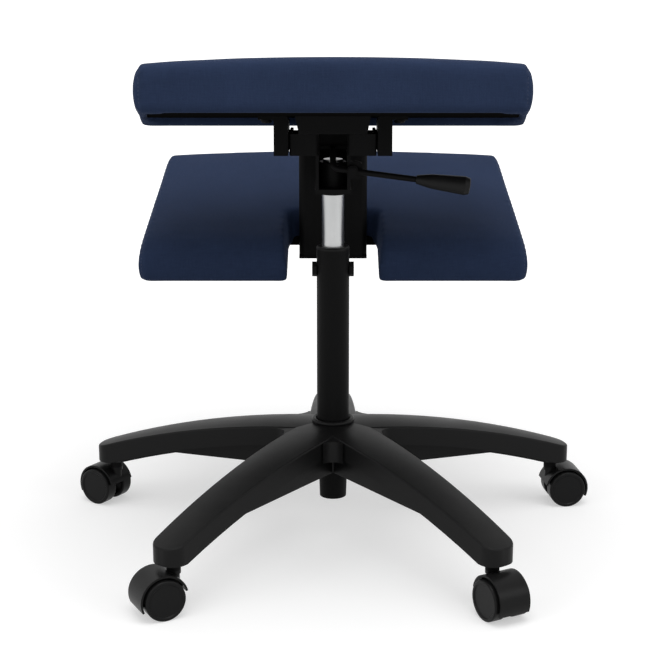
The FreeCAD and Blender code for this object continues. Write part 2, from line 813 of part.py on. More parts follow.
def lift_rod():
    """The piston rod, its piston, and the thrust bearing and clip that hold it in the column's foot."""
    floor = bearing_floor()
    stack = f"({floor} + 2 * race_thickness + ball_diameter + 2 * running_gap)"
    radius = "rod_diameter / 2"
    groove = "rod_diameter / 2 - clip_groove"
    clip_top = "(column_foot + column_plug_height - running_gap)"
    clip_floor = f"({clip_top} - clip_thickness)"
    piston_top = "piston_floor + piston_length"
    collar = "rod_collar_diameter / 2"
    turned("piston_rod", [
        ("0", f"{clip_floor} - clip_thickness"), (radius, f"{clip_floor} - clip_thickness"),
        (radius, clip_floor),
        (groove, clip_floor), (groove, clip_top), (radius, clip_top), (radius, stack), (collar, stack),
        (collar, f"{stack} + rod_collar"), (radius, f"{stack} + rod_collar"), (radius, piston_top),
        ("0", piston_top)])
    bore = "cylinder_diameter / 2 - cylinder_wall - running_gap"
    turned("piston", [
        (f"{radius} + seat_gap", "piston_floor"), (bore, "piston_floor"),
        (bore, "piston_floor + piston_length / 3"),
        (f"{bore} - clip_groove", "piston_floor + piston_length / 3"),
        (f"{bore} - clip_groove", "piston_floor + 2 * piston_length / 3"),
        (bore, "piston_floor + 2 * piston_length / 3"), (bore, piston_top),
        (f"{radius} + seat_gap", piston_top)])
    clip = turned("rod_clip", [
        (f"{groove} + seat_gap", clip_floor), ("clip_diameter / 2", clip_floor),
        ("clip_diameter / 2", clip_top),
        (f"{groove} + seat_gap", clip_top)])
    mouth = sketch_on(clip, "XY_Plane", "mouth", ("0", "0", clip_floor))
    rectangle(mouth, f"-({groove})", "-clip_diameter", groove, "0")
    pocket(clip, mouth, "mouth_cut", "clip_thickness", back=True)
    inner = "rod_diameter / 2 + running_gap"
    outer = "race_diameter / 2"
    turned("lower_race", [
        (inner, floor), (outer, floor), (outer, f"{floor} + race_thickness"),
        (inner, f"{floor} + race_thickness")])
    turned("upper_race", [
        (inner, f"{stack} - race_thickness"), (outer, f"{stack} - race_thickness"), (outer, stack),
        (inner, stack)])
    ball = doc.addObject("Part::Sphere", "ball_pattern")
    ball.setExpression("Radius", bound("ball_diameter / 2"))
    level = size(f"{floor} + race_thickness + ball_diameter / 2 + running_gap")
    spots = []
    for count in range(int(size("ball_count"))):
        way = 2 * math.pi * count / size("ball_count")
        spots.append(Placement(Vector(math.cos(way), math.sin(way),
                                      0) * size("ball_circle / 2") + UP * level, Rotation()))
    group("bearing_balls", ball, spots)


def release_button():
    radius = "button_diameter / 2"
    top = "cylinder_top + button_rise"
    floor = "cylinder_top - button_stem"
    body = turned("release_button", [("0", floor), (radius, floor), (radius, top), ("0", top)])
    round_edges(body, "button_diameter / 4", lambda edge: is_ring(edge, size(radius), size(top)))


# Mechanism: taper socket, channel and head

def taper_socket():
    """A tube bored to the cylinder's cone, welded into the channel's floor."""
    floor = "channel_floor - socket_drop"
    slope = "((cylinder_diameter - cone_top_diameter) / 2 / cone_length)"
    shoulder = "(cylinder_top - cone_length)"
    low = f"cylinder_diameter / 2 + seat_gap - ({floor} - {shoulder}) * {slope}"
    high = f"cylinder_diameter / 2 + seat_gap - (socket_top - {shoulder}) * {slope}"
    outer = "cylinder_diameter / 2 + socket_wall - 2 * seat_gap"
    body = turned("taper_socket", [(low, floor), (outer, floor), (outer, "socket_top"), (high, "socket_top")])
    round_edges(body, "socket_wall / 4", lambda edge: is_ring(edge, size(outer)))


def mechanism_channel():
    """An open-ended channel that carries the socket, with a tab at its rear for the lever's pin."""
    body = new_body("mechanism_channel")
    half = "channel_inner / 2"
    rim = f"{half} + channel_wall"
    length = "hanger_rear - channel_rear"
    section = sketch_on(body, "XZ_Plane", "section", ("0", "0", "-hanger_rear"))
    polygon(section, [
        (f"-({rim}) - channel_lip", "channel_floor"), (f"{rim} + channel_lip", "channel_floor"),
        (f"{rim} + channel_lip", "channel_floor + channel_base"), (rim, "channel_floor + channel_base"),
        (rim, "head_floor"), (half, "head_floor"), (half, "channel_floor + channel_base"),
        (f"-({half})", "channel_floor + channel_base"), (f"-({half})", "head_floor"),
        (f"-({rim})", "head_floor"),
        (f"-({rim})", "channel_floor + channel_base"),
        (f"-({rim}) - channel_lip", "channel_floor + channel_base")])
    pad(body, section, length, "channel_pad")
    tab = sketch_on(body, "XZ_Plane", "tab", ("0", "0", "-channel_rear"))
    level = pivot_height()
    rectangle(tab, half, f"{level} - tab_half_height", "lever_arm + tab_reach", f"{level} + tab_half_height")
    pad(body, tab, "channel_wall", "tab_pad", back=True)
    hole = circle(sketch_on(body, "XY_Plane", "socket_hole"), "0", "0", "cylinder_diameter + 2 * socket_wall")
    pocket(body, hole, "socket_hole_cut")
    pin = sketch_on(body, "XZ_Plane", "pin_hole", ("0", "0", "-channel_rear"))
    circle(pin, "lever_arm", level, "pin_diameter + 2 * seat_gap")
    pocket(body, pin, "pin_hole_cut", "channel_wall")
    corner = size("lever_arm + tab_reach")
    round_edges(body, "channel_wall", lambda edge: runs_along(edge,
                                                              FORWARD) and abs(edge.CenterOfMass.x - corner) < 1e-4)


def pivot_head():
    """A plate with two cheeks, a web across the front, and rear ends that turn in and roll back along the channel."""
    body = new_body("pivot_head")
    half = "channel_inner / 2"
    sheet_in = f"{half} + head_sheet"
    cheek_in = "head_half - head_sheet"
    face = "head_rear + head_sheet"
    plate = sketch_on(body, "XY_Plane", "plate", ("0", "0", "head_floor"))
    polygon(plate, [
        ("-head_half", "head_rear"), (f"-({half})", "head_rear"), (f"-({half})", "head_front - head_bend"),
        (half, "head_front - head_bend"), (half, "head_rear"), ("head_half", "head_rear"),
        ("head_half", "head_front"), ("-head_half", "head_front")])
    pad(body, plate, "head_plate", "plate_pad")
    for hand, name in ((1, "right"), (-1, "left")):
        wall = sketch_on(body, "XY_Plane", f"cheek_{name}", ("0", "0", "head_floor + head_plate"))
        polygon(wall, [(f"{hand} * ({x})", y) for x, y in (
            (half, "head_rear"), ("head_half", "head_rear"), ("head_half", "head_front"),
            (cheek_in, "head_front"),
            (cheek_in, face), (sheet_in, face), (sheet_in, "head_front"), (half, "head_front"))])
        pad(body, wall, "head_height", f"cheek_{name}_pad")
    web = sketch_on(body, "XY_Plane", "front_web", ("0", "0", "head_floor + head_plate"))
    rectangle(web, f"-({half})", "head_front - head_sheet", half, "head_front")
    pad(body, web, "head_height", "front_web_pad")
    bolts = sketch_on(body, "YZ_Plane", "bolt_holes")
    for count in range(2):
        circle(bolts, f"bolt_first + {count} * bolt_pitch", "bolt_height", "bolt_diameter + 2 * fit_gap")
    pocket(body, bolts, "bolt_hole_cut")
    low = size("head_floor + head_plate")

    def rolled(edge):
        inner = abs(abs(edge.CenterOfMass.x) - size(half)) < 1e-4
        return runs_along(edge,
                          UP) and inner and edge.CenterOfMass.y < size(face) and edge.CenterOfMass.z > low

    round_edges(body, "head_bend", rolled, "RolledLips")
    outer = size("head_half")
    round_edges(body, "head_sheet / 2", lambda edge: runs_along(edge,
                                                                UP) and abs(abs(edge.CenterOfMass.x) - outer) < 1e-4
                and edge.CenterOfMass.y < 0, "RearCorners")


# Seat: brackets, saddle, board, cushion and fasteners

def seat_bracket(hand, name):
    """A folded bracket: a bolted web, a return across its rear and a flange under the seat board."""
    body = new_body(f"seat_bracket_{name}")
    back = hand < 0
    shift = ("0", "0", f"{hand} * bracket_inner")
    top = "seat_hem"
    under = "seat_hem - bracket_sheet"
    rear_y, rear_z = seat_at("bracket_rear", "bracket_floor")
    front_y, front_z = seat_at("bracket_front", "bracket_floor")
    flange = rectangle(sketch_on(body, "YZ_Plane", "flange", shift), rear_y, under, front_y, top)
    pad(body, flange, "bracket_flange", "flange_pad", back=back)
    web = polygon(sketch_on(body, "YZ_Plane", "web", shift), [
        (rear_y, rear_z), (front_y, front_z), (front_y, under), (rear_y, under)])
    pad(body, web, "bracket_sheet", "web_pad", back=back)
    turn_y, turn_z = seat_at("bracket_rear + bracket_sheet", "bracket_floor")
    rear = polygon(sketch_on(body, "YZ_Plane", "return", shift), [
        (rear_y, rear_z), (turn_y, turn_z), (turn_y, under), (rear_y, under)])
    pad(body, rear, "bracket_return", "return_pad", back=back)
    bolts = sketch_on(body, "YZ_Plane", "bolt_holes")
    for count in range(2):
        bolt_y, bolt_z = seat_at(f"bolt_first + {count} * bolt_pitch", "bolt_height")
        circle(bolts, bolt_y, bolt_z, "bolt_diameter + 2 * fit_gap")
    pocket(body, bolts, "bolt_hole_cut", "bracket_inner + bracket_flange", back=not back)
    screws = sketch_on(body, "XY_Plane", "screw_holes", ("0", "0", under))
    for count in range(int(size("seat_screw_count"))):
        circle(screws, f"{hand} * seat_screw_side", f"seat_screw_first + {count} * seat_screw_pitch",
               "screw_diameter + 2 * fit_gap")
    pocket(body, screws, "screw_hole_cut", "bracket_sheet", back=True)
    inner = hand * size("bracket_inner")
    round_edges(body, "bracket_bend", lambda edge: runs_along(edge,
                                                              FORWARD) and abs(edge.CenterOfMass.x - inner) < 1e-4
                and abs(edge.CenterOfMass.z - size(top)) < 1e-4)
    put(body, "0", "seat_rear", "seat_rear_height", SEAT_PLACE.Rotation)


def seat_saddle():
    """A pressed tray with sloping sides, welded on the head and touching the seat board."""
    body = new_body("seat_saddle")
    floor = "head_floor + head_plate + head_height"
    length = "saddle_front - saddle_rear"
    high = board_height("saddle_rear")
    block = sketch_on(body, "XZ_Plane", "section", ("0", "0", "-saddle_front"))
    polygon(block, [("-saddle_floor_half", floor), ("saddle_floor_half", floor), ("saddle_top_half", high),
                    ("-saddle_top_half", high)])
    pad(body, block, length, "section_pad")
    slope = polygon(sketch_on(body, "YZ_Plane", "slope"), [
        ("saddle_rear", high), ("saddle_front", board_height("saddle_front")),
        ("saddle_front", f"{high} + saddle_wall"),
        ("saddle_rear", f"{high} + saddle_wall")])
    pocket(body, slope, "slope_cut")
    inside = sketch_on(body, "XZ_Plane", "inside", ("0", "0", "-saddle_front"))
    polygon(inside, [
        ("saddle_wall - saddle_floor_half", f"{floor} + saddle_wall"),
        ("saddle_floor_half - saddle_wall", f"{floor} + saddle_wall"),
        ("saddle_top_half - saddle_wall", f"{high} + saddle_wall"),
        ("saddle_wall - saddle_top_half", f"{high} + saddle_wall")])
    pocket(body, inside, "inside_cut", f"{length} - saddle_wall", back=True)
    rear = size("saddle_rear")
    round_edges(body, "saddle_wall / 2", lambda edge: runs_along(edge,
                                                                 RIGHT) and abs(edge.CenterOfMass.y - rear) < 1e-4
                and edge.CenterOfMass.z < size(floor) + 1)


def seat_board():
    body = new_body("seat_board")
    rear = "seat_board_inset"
    front = "seat_depth - seat_board_inset"
    outline = sketch_on(body, "XY_Plane", "outline", ("0", "0", "seat_hem"))
    polygon(outline, [
        (f"{rear} - seat_rear_half", rear), (f"seat_rear_half - {rear}", rear),
        (f"seat_front_half - {rear}", front), (f"{rear} - seat_front_half", front)])
    pad(body, outline, "seat_board", "board_pad")
    round_edges(body, "seat_board_corner", lambda edge: runs_along(edge, UP))
    nuts = sketch_on(body, "XY_Plane", "nut_holes", ("0", "0", "seat_hem"))
    for hand in (1, -1):
        for count in range(int(size("seat_screw_count"))):
            circle(nuts, f"{hand} * seat_screw_side", f"seat_screw_first + {count} * seat_screw_pitch",
                   "tee_barrel + 2 * seat_gap")
    pocket(body, nuts, "nut_hole_cut", "seat_board", back=True)
    flanges = sketch_on(body, "XY_Plane", "flange_seats", ("0", "0", "seat_hem + seat_board"))
    for hand in (1, -1):
        for count in range(int(size("seat_screw_count"))):
            circle(flanges, f"{hand} * seat_screw_side", f"seat_screw_first + {count} * seat_screw_pitch",
                   "tee_flange + 2 * seat_gap")
    pocket(body, flanges, "flange_seat_cut", "tee_flange_height + seat_gap")
    put(body, "0", "seat_rear", "seat_rear_height", SEAT_PLACE.Rotation)


def knee_board():
    body = new_body("knee_board")
    rear = "knee_board_inset"
    front = "knee_depth - knee_board_inset"
    notch = "knee_notch_half + knee_board_inset"
    outline = sketch_on(body, "XY_Plane", "outline", ("0", "0", "knee_hem"))
    polygon(outline, [
        (f"{rear} - knee_rear_half", rear), (f"-({notch})", rear), (f"-({notch})", "knee_notch_depth"),
        (notch, "knee_notch_depth"), (notch, rear), (f"knee_rear_half - {rear}", rear),
        (f"knee_front_half - {rear}", front), (f"{rear} - knee_front_half", front)])
    pad(body, outline, "knee_board", "board_pad")
    outer = size("knee_front_half") / 2
    round_edges(body, "knee_board_corner", lambda edge: runs_along(edge,
                                                                   UP) and abs(edge.CenterOfMass.x) > outer)
    nuts = sketch_on(body, "XY_Plane", "nut_holes", ("0", "0", "knee_hem"))
    for x, y in knee_screw_spots():
        circle(nuts, x, y, "tee_barrel + 2 * seat_gap")
    pocket(body, nuts, "nut_hole_cut", "knee_board", back=True)
    flanges = sketch_on(body, "XY_Plane", "flange_seats", ("0", "0", "knee_hem + knee_board"))
    for x, y in knee_screw_spots():
        circle(flanges, x, y, "tee_flange + 2 * seat_gap")
    pocket(body, flanges, "flange_seat_cut", "tee_flange_height + seat_gap")
    put(body, "0", "knee_rear", "knee_rear_height", KNEE_PLACE.Rotation)


def knee_screw_spots():
    return [(f"{hand} * knee_screw_side", f"knee_screw_first + {count} * knee_screw_pitch")
            for hand in (1, -1) for count in range(2)]


def drawn_in(away, radius):
    """How far a rounded edge has drawn in, at a distance from the end that it rounds."""
    return radius - math.sqrt(radius ** 2 - max(0, radius - away) ** 2)


def cushion_section(along, half, tuck, low, side, crown):
    """A cushion's cross-section: flat under, bulging sides that draw in to the seams, a crowned top."""
    right_low = Vector(half - 0.7 * tuck, along, low)
    right_mid = Vector(half, along, (low + side) / 2)
    right_top = Vector(half - tuck, along, side)
    left_low, left_mid, left_top = (Vector(-spot.x, spot.y,
                                           spot.z) for spot in (right_low, right_mid, right_top))
    edges = [
        line(left_low, right_low),
        arc(right_low, right_mid, right_top),
        arc(right_top, Vector(0, along, side + crown), left_top),
        arc(left_top, left_mid, left_low),
    ]
    return Part.Wire(edges)


def cushion_form(name, drop):
    """A cushion lofted from its rear roll to its front roll, whose underside may hang lower at the front."""
    depth = size(f"{name}_depth")
    rear = size(f"{name}_rear_roll")
    front = size(f"{name}_front_roll")
    taper = (size(f"{name}_front_half") - size(f"{name}_rear_half")) / depth
    shares = (0, 0.06, 0.2, 0.45, 0.7, 1)
    stations = [(share * rear, share * rear, rear) for share in shares]
    stations.append((depth / 2, depth / 2, rear))
    stations += [(depth - share * front, share * front, front) for share in reversed(shares)]
    wires = []
    for along, away, roll in stations:
        half = size(f"{name}_rear_half") + taper * along - drawn_in(away, size("cushion_corner"))
        fall = drop * max(0, 1 - (depth - along) / (2 * front)) ** 2
        low = drawn_in(away, size("cushion_hem_round")) - fall
        side = size(f"{name}_side") - 0.8 * drawn_in(away, roll)
        tuck = size("side_tuck") * (side - low) / size(f"{name}_side")
        wires.append(cushion_section(along, half, min(tuck, size("side_tuck")), low, side,
                                     size(f"{name}_crown")))
    return Part.makeLoft(wires, True, True)


def board_recess(name):
    """The room that a board takes in its cushion, open below."""
    board = next(piece for piece in pieces if piece.Label == name)
    room = board.Shape.copy()
    room.Placement = Placement()
    face = max((face for face in room.Faces if abs(face.normalAt(0, 0).z) > 0.99), key=lambda face: face.Area)
    outline = Part.Face(face.OuterWire).makeOffset2D(size("fit_gap"))
    top = room.BoundBox.ZMax
    outline.translate(UP * (-top - outline.BoundBox.ZMin))
    return outline.extrude(UP * 2 * top)


def seat_cushion():
    doc.recompute()
    form = cushion_form("seat", size("seat_front_drop"))
    moulded("seat_cushion", form.cut(board_recess("seat_board")), SEAT_PLACE)


def notch_outline(half, depth, level):
    corner = size("knee_notch_corner")
    bevel = corner * (1 - math.sqrt(0.5))
    start = -size("knee_rear_roll")
    right = [Vector(half, start, level), Vector(half, depth - corner, level),
             Vector(half - bevel, depth - bevel, level),
             Vector(half - corner, depth, level)]
    left = [Vector(-spot.x, spot.y, level) for spot in reversed(right)]
    edges = [line(right[0], right[1]), arc(right[1], right[2], right[3]), line(right[3], left[0]),
             arc(left[0], left[1], left[2]), line(left[2], left[3]), line(left[3], right[0])]
    return Part.Wire(edges)


def knee_cushion():
    doc.recompute()
    half = size("knee_notch_half")
    depth = size("knee_notch_depth")
    flare = size("knee_notch_flare")
    top = size("knee_side + 2 * knee_crown")
    notch = Part.makeLoft([notch_outline(half, depth, -top),
                           notch_outline(half, depth, size("knee_side / 2")),
                           notch_outline(half + flare, depth + flare, top)], True, True)
    moulded("knee_cushion", cushion_form("knee", 0).cut(notch).cut(board_recess("knee_board")), KNEE_PLACE)


def board_fasteners():
    """Button-head screws from below and tee nuts let into the boards' upper faces."""
    radius = "screw_diameter / 2"
    head = "screw_head / 2"
    length = "bracket_sheet + seat_board - tee_flange_height - fit_gap"
    screw = turned("screw_pattern", [
        ("0", "-screw_head_height"), (f"{head} - screw_head_height / 2", "-screw_head_height"),
        (head, "-screw_head_height / 3"), (head, "0"), (radius, "0"), (radius, length), ("0", length)],
        keep=False)
    barrel = "tee_barrel / 2"
    flange = "tee_flange / 2"
    under = "seat_board - tee_flange_height"
    bore = f"{radius} + seat_gap"
    nut = turned("tee_nut_pattern", [
        (bore, "fit_gap"), (barrel, "fit_gap"), (barrel, under), (flange, under), (flange, "seat_board"),
        (bore, "seat_board")], keep=False)
    seat_spots = [Vector(hand * size("seat_screw_side"),
                         size(f"seat_screw_first + {count} * seat_screw_pitch"), 0)
                  for hand in (1, -1) for count in range(int(size("seat_screw_count")))]
    knee_spots = [Vector(size(x), size(y), 0) for x, y in knee_screw_spots()]
    for name, frame, spots, carrier in (("seat", SEAT_PLACE, seat_spots, "bracket_sheet"),
                                        ("knee", KNEE_PLACE, knee_spots, "hanger_sheet")):
        hem = UP * size(f"{name}_hem")
        below = hem - UP * size(carrier)
        group(f"{name}_screws", screw, [frame.multiply(Placement(spot + below,
                                                                 Rotation())) for spot in spots])
        group(f"{name}_tee_nuts", nut, [frame.multiply(Placement(spot + hem, Rotation())) for spot in spots])


def head_bolts():
    """Hexagon bolts from outside each bracket, with a nut behind the cheek and a washer between."""
    grip = "bracket_sheet + bracket_inner - head_half + head_sheet"
    bolt = new_body("head_bolt_pattern", keep=False)
    pad(bolt, hexagon(sketch_on(bolt, "XY_Plane", "head"), "bolt_head"), "bolt_head_height", "head_pad")
    shank = circle(sketch_on(bolt, "XY_Plane", "shank"), "0", "0", "bolt_diameter")
    pad(bolt, shank, f"{grip} + bolt_nut_height + seat_gap", "shank_pad", back=True)
    nut = new_body("head_nut_pattern", keep=False)
    face = sketch_on(nut, "XY_Plane", "nut", ("0", "0", f"-({grip})"))
    hexagon(face, "bolt_head")
    pad(nut, face, "bolt_nut_height", "nut_pad", back=True)
    bore = circle(sketch_on(nut, "XY_Plane", "bore", ("0", "0", f"-({grip})")), "0", "0",
                  "bolt_diameter + 2 * seat_gap")
    pocket(nut, bore, "bore_cut", "bolt_nut_height")
    inner = "bolt_diameter / 2 + fit_gap"
    washer = turned("head_washer_pattern", [
        (inner, "head_half - bracket_inner - bracket_sheet"),
        ("bolt_head / 2 + head_sheet / 2", "head_half - bracket_inner - bracket_sheet"),
        ("bolt_head / 2 + head_sheet / 2", "-bracket_sheet"), (inner, "-bracket_sheet")], keep=False)
    places = []
    for hand in (1, -1):
        for count in range(2):
            spot = Vector(hand * size("bracket_inner + bracket_sheet"),
                          size(f"bolt_first + {count} * bolt_pitch"),
                          size("bolt_height"))
            places.append(Placement(spot, Rotation(FORWARD, hand * 90)))
    group("head_bolts", bolt, places)
    group("head_nuts", nut, places)
    group("head_washers", washer, places)


# Hanger: a channel down to a foot under the shin pad's board

def knee_hanger():
    body = new_body("knee_hanger")
    front = "hanger_rear + hanger_depth"
    rear_foot = "((hanger_rear - knee_rear) / cos(knee_tilt))"
    top = "knee_hem"
    under = "knee_hem - hanger_sheet"
    toe_top = knee_point("hanger_toe", top)
    toe_low = knee_point("hanger_toe", under)
    heel_low = ("hanger_rear",
                f"knee_rear_height + (hanger_rear - knee_rear) * tan(knee_tilt) + ({under}) / cos(knee_tilt)")
    flange_low = (front,
                  f"knee_rear_height + ({front} - knee_rear) * tan(knee_tilt) + ({under}) / cos(knee_tilt)")
    width = "2 * hanger_half"
    block = polygon(sketch_on(body, "YZ_Plane", "side"), [
        heel_low, flange_low, (front, "head_floor - channel_wall"), (front, "head_floor"),
        ("hanger_rear", "head_floor")])
    pad(body, block, width, "side_pad", "Symmetric")
    foot = polygon(sketch_on(body, "YZ_Plane", "foot"),
                   [heel_low, toe_low, toe_top, knee_point(rear_foot, top)])
    pad(body, foot, width, "foot_pad", "Symmetric")
    inner = ("hanger_rear + hanger_sheet",
             f"knee_rear_height + (hanger_rear + hanger_sheet - knee_rear) * tan(knee_tilt) + ({top}) / cos(knee_tilt)")
    mouth = (f"{front} + hanger_sheet",
             f"knee_rear_height + ({front} + hanger_sheet - knee_rear) * tan(knee_tilt) + ({top}) / cos(knee_tilt)")
    hollow = polygon(sketch_on(body, "YZ_Plane", "hollow"), [
        inner, mouth, (mouth[0], "head_floor + hanger_sheet"), (inner[0], "head_floor + hanger_sheet")])
    pocket(body, hollow, "hollow_cut", f"{width} - 2 * hanger_sheet", "Symmetric")
    frame = ("0", "knee_rear", "knee_rear_height")
    screws = sketch_on(body, "XY_Plane", "screw_holes", frame, KNEE_PLACE.Rotation)
    for x, y in knee_screw_spots():
        circle(screws, x, y, "screw_diameter + 2 * fit_gap")
    pocket(body, screws, "screw_hole_cut", "4 * hanger_sheet", "Symmetric")
    half = size("hanger_half")
    rear = size("hanger_rear")

    def outer_bend(edge):
        return runs_along(edge,
                          UP) and abs(abs(edge.CenterOfMass.x) - half) < 1e-4 and abs(edge.CenterOfMass.y - rear) < 1e-4

    round_edges(body, "hanger_bend", outer_bend, "OuterBends")
    heel = size(heel_low[1])
    round_edges(body, "hanger_corner", lambda edge: runs_along(edge,
                                                               RIGHT) and abs(edge.CenterOfMass.y - rear) < 1e-4
                and abs(edge.CenterOfMass.z - heel) < 1e-4, "Heel")


# Release lever: bent rod with a pivot boss, hand grip and pivot pin

def lever_forward():
    return "(channel_rear - lever_side_gap - lever_boss_length / 2)"


def pivot_height():
    return "(lever_height - lever_arm * tan(lever_slope))"


def rounded_path(spots, radius):
    """A wire of straight runs through the spots, with tangent arcs at the inner corners."""
    edges = []
    start = spots[0]
    for before, corner, after in zip(spots, spots[1:], spots[2:]):
        inward = (before - corner).normalize()
        outward = (after - corner).normalize()
        half_turn = inward.getAngle(outward) / 2
        leave = radius / math.tan(half_turn)
        bisector = (inward + outward).normalize()
        middle = corner + bisector * (radius / math.sin(half_turn) - radius)
        edges.append(line(start, corner + inward * leave))
        edges.append(arc(corner + inward * leave, middle, corner + outward * leave))
        start = corner + outward * leave
    edges.append(line(start, spots[-1]))
    return Part.Wire(edges)


def lever_rod():
    forward = size(lever_forward())
    slope = math.radians(size("lever_slope"))
    reach = size("grip_start + grip_bore_depth") / math.cos(slope)
    bend = Vector(0, forward, size("lever_height"))
    level = size("cylinder_top + button_rise + lever_tip_gap + lever_diameter / 2")
    rise = Vector(0, size("lever_rise_at"), level)
    outer = bend + Vector(math.cos(slope), 0, -math.sin(slope)) * reach
    path = rounded_path([outer, bend, rise, Vector(0, size("lever_tip"), level)], size("lever_bend"))
    radius = size("lever_diameter / 2")
    profile = Part.Wire(Part.makeCircle(radius, outer, (bend - outer).normalize()))
    rod = path.makePipeShell([profile], True, False)
    length = size("lever_boss_length")
    pivot = Vector(size("lever_arm"), forward - length / 2, size(pivot_height()))
    boss = Part.makeCylinder(size("lever_boss / 2"), length, pivot, FORWARD)
    hole = Part.makeCylinder(size("pin_diameter / 2 + running_gap"), length, pivot, FORWARD)
    moulded("lever_rod", rod.fuse(boss).cut(hole).removeSplitter())


def lever_grip():
    neck = "grip_neck / 2"
    shoulder = "grip_shoulder / 2"
    widest = "grip_diameter / 2"
    end = "grip_end / 2"
    bore = "lever_diameter / 2 + seat_gap"
    body = turned("lever_grip", [
        (bore, "0"), (neck, "0"), (shoulder, "grip_length * 0.27"), (widest, "grip_length * 0.9"),
        (end, "grip_length"),
        ("0", "grip_length"), ("0", "grip_bore_depth / cos(lever_slope) + fit_gap"),
        (bore, "grip_bore_depth / cos(lever_slope) + fit_gap")])
    rings = (("end", end, "grip_length", "grip_neck / 6"),
             ("widest", widest, "grip_length * 0.9", "grip_neck / 4"),
             ("shoulder", shoulder, "grip_length * 0.27", "grip_neck"))
    for name, radius, height, rounding in rings:
        def at_ring(edge, r=size(radius), z=size(height)):
            return is_ring(edge, r, z)

        round_edges(body, rounding, at_ring, f"round_{name}")
    put(body, "grip_start", lever_forward(), "lever_height - grip_start * tan(lever_slope)",
        Rotation(FORWARD, 90 + size("lever_slope")))


def lever_pin():
    """A headed pin pressed into the channel's tab, with its head behind the lever's boss."""
    radius = "pin_diameter / 2"
    reach = "channel_wall + lever_boss_length + 2 * lever_side_gap"
    body = turned("lever_pin", [
        ("0", "0"), (radius, "0"), (radius, reach), ("pin_head / 2", reach),
        ("pin_head / 2", f"{reach} + pin_head_height"),
        ("0", f"{reach} + pin_head_height")])
    put(body, "lever_arm", "channel_rear + channel_wall", pivot_height(), Rotation(RIGHT, 90))


star_base()
stem_sleeves()
for castor in range(1, ARM_COUNT + 1):
    castor_hood(castor)
    castor_stem(castor)
    castor_axle(castor)
    castor_wheel(castor, "left", -90)
    castor_wheel(castor, "right", 90)
column_tube()
guide_bush()
bush_screws()
gas_cylinder()
cylinder_gland()
lift_rod()
release_button()
taper_socket()
mechanism_channel()
pivot_head()
seat_bracket(1, "right")
seat_bracket(-1, "left")
seat_saddle()
seat_board()
knee_board()
seat_cushion()
knee_cushion()
board_fasteners()
head_bolts()
knee_hanger()
lever_rod()
lever_grip()
lever_pin()

doc.recompute()
for item in doc.Objects:
    if "Invalid" in item.State or "Error" in item.State:
        raise RuntimeError(f"{item.Label} failed: {item.State}")
for piece in pieces:
    if piece.Shape.isNull() or not piece.Shape.isValid():
        raise RuntimeError(f"{piece.Label} has no valid shape")

os.makedirs("parts", exist_ok=True)
for piece in pieces:
    piece.Shape.exportStep(f"parts/{piece.Label}.step")
    print(f"{piece.Label}: {len(piece.Shape.Solids)} solids, {piece.Shape.Volume / 1000:.2f} cm3")
print(f"{len(pieces)} pieces")
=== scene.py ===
# %% [markdown]
# A kneeling chair: a sloping padded seat, a notched shin pad, a gas lift and five twin-wheel castors.
# The hard pieces arrive as finished solids, one object for each real piece, already in their places.
# This lesson gives each of them a finish, and sews the two cushions as cloth
# instead of leaving them as blocks.

# %% Load the chair
import json
import math
import bmesh
import bpy
from mathutils import Matrix, Vector
from mathutils.bvhtree import BVHTree


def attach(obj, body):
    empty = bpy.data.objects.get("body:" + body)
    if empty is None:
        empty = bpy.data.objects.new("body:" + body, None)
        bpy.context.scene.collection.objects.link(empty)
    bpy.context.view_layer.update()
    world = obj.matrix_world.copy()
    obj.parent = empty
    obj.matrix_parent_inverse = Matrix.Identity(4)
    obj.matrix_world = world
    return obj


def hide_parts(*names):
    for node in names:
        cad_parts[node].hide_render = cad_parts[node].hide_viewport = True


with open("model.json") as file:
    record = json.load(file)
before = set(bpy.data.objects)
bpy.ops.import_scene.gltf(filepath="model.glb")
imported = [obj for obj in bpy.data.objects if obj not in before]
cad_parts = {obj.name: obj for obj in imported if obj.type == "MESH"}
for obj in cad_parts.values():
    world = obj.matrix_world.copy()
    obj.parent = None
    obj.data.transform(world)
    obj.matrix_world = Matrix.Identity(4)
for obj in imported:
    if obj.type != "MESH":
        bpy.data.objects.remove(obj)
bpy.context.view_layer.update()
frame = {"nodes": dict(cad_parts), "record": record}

nodes = frame["nodes"]
scene = bpy.context.scene

# %% [markdown]
# The picture was taken from behind the chair, a little above the seat, with a long lens.
# A camera of 83 mm on a 36 mm sensor, 1.93 m behind the column and tipped down by 15 degrees,
# gives the same view.
# The camera never moves the object: it only has to stand where the photographer stood.

# %% Camera
FOCAL_LENGTH_MM = 83.24
SENSOR_WIDTH_MM = 36
CAMERA_PLACE = (0, -1.933, 0.7837)
CAMERA_TIP = math.radians(14.86)
lens = bpy.data.cameras.new("camera")
lens.lens = FOCAL_LENGTH_MM
lens.sensor_width = SENSOR_WIDTH_MM
camera = bpy.data.objects.new("camera", lens)
camera.location = CAMERA_PLACE
camera.rotation_euler = (math.radians(90) - CAMERA_TIP, 0, 0)
scene.collection.objects.link(camera)
scene.camera = camera
print("camera stands", round(camera.location.z, 3), "m above the floor")

# %% [markdown]
# A product studio is a white floor under a large soft lamp. Two more lamps fill in from behind the camera.
# The floor has to look white and still catch the chair's shadow, so it stays a matt surface,
# and only what the camera sees of it is lifted: a little under the chair, and up to plain white far away.
# The chair itself is lit at a plain level.

# %% Studio
scene.view_settings.view_transform = "Standard"
SKY_LIGHT = 0.5
SKY_SEEN = 1.0
FLOOR_TONE = 0.62
FLOOR_LIFT = {"From Min": 0.35, "From Max": 2.5, "To Min": 0.47, "To Max": 1.0}
FLOOR_HALF = 30


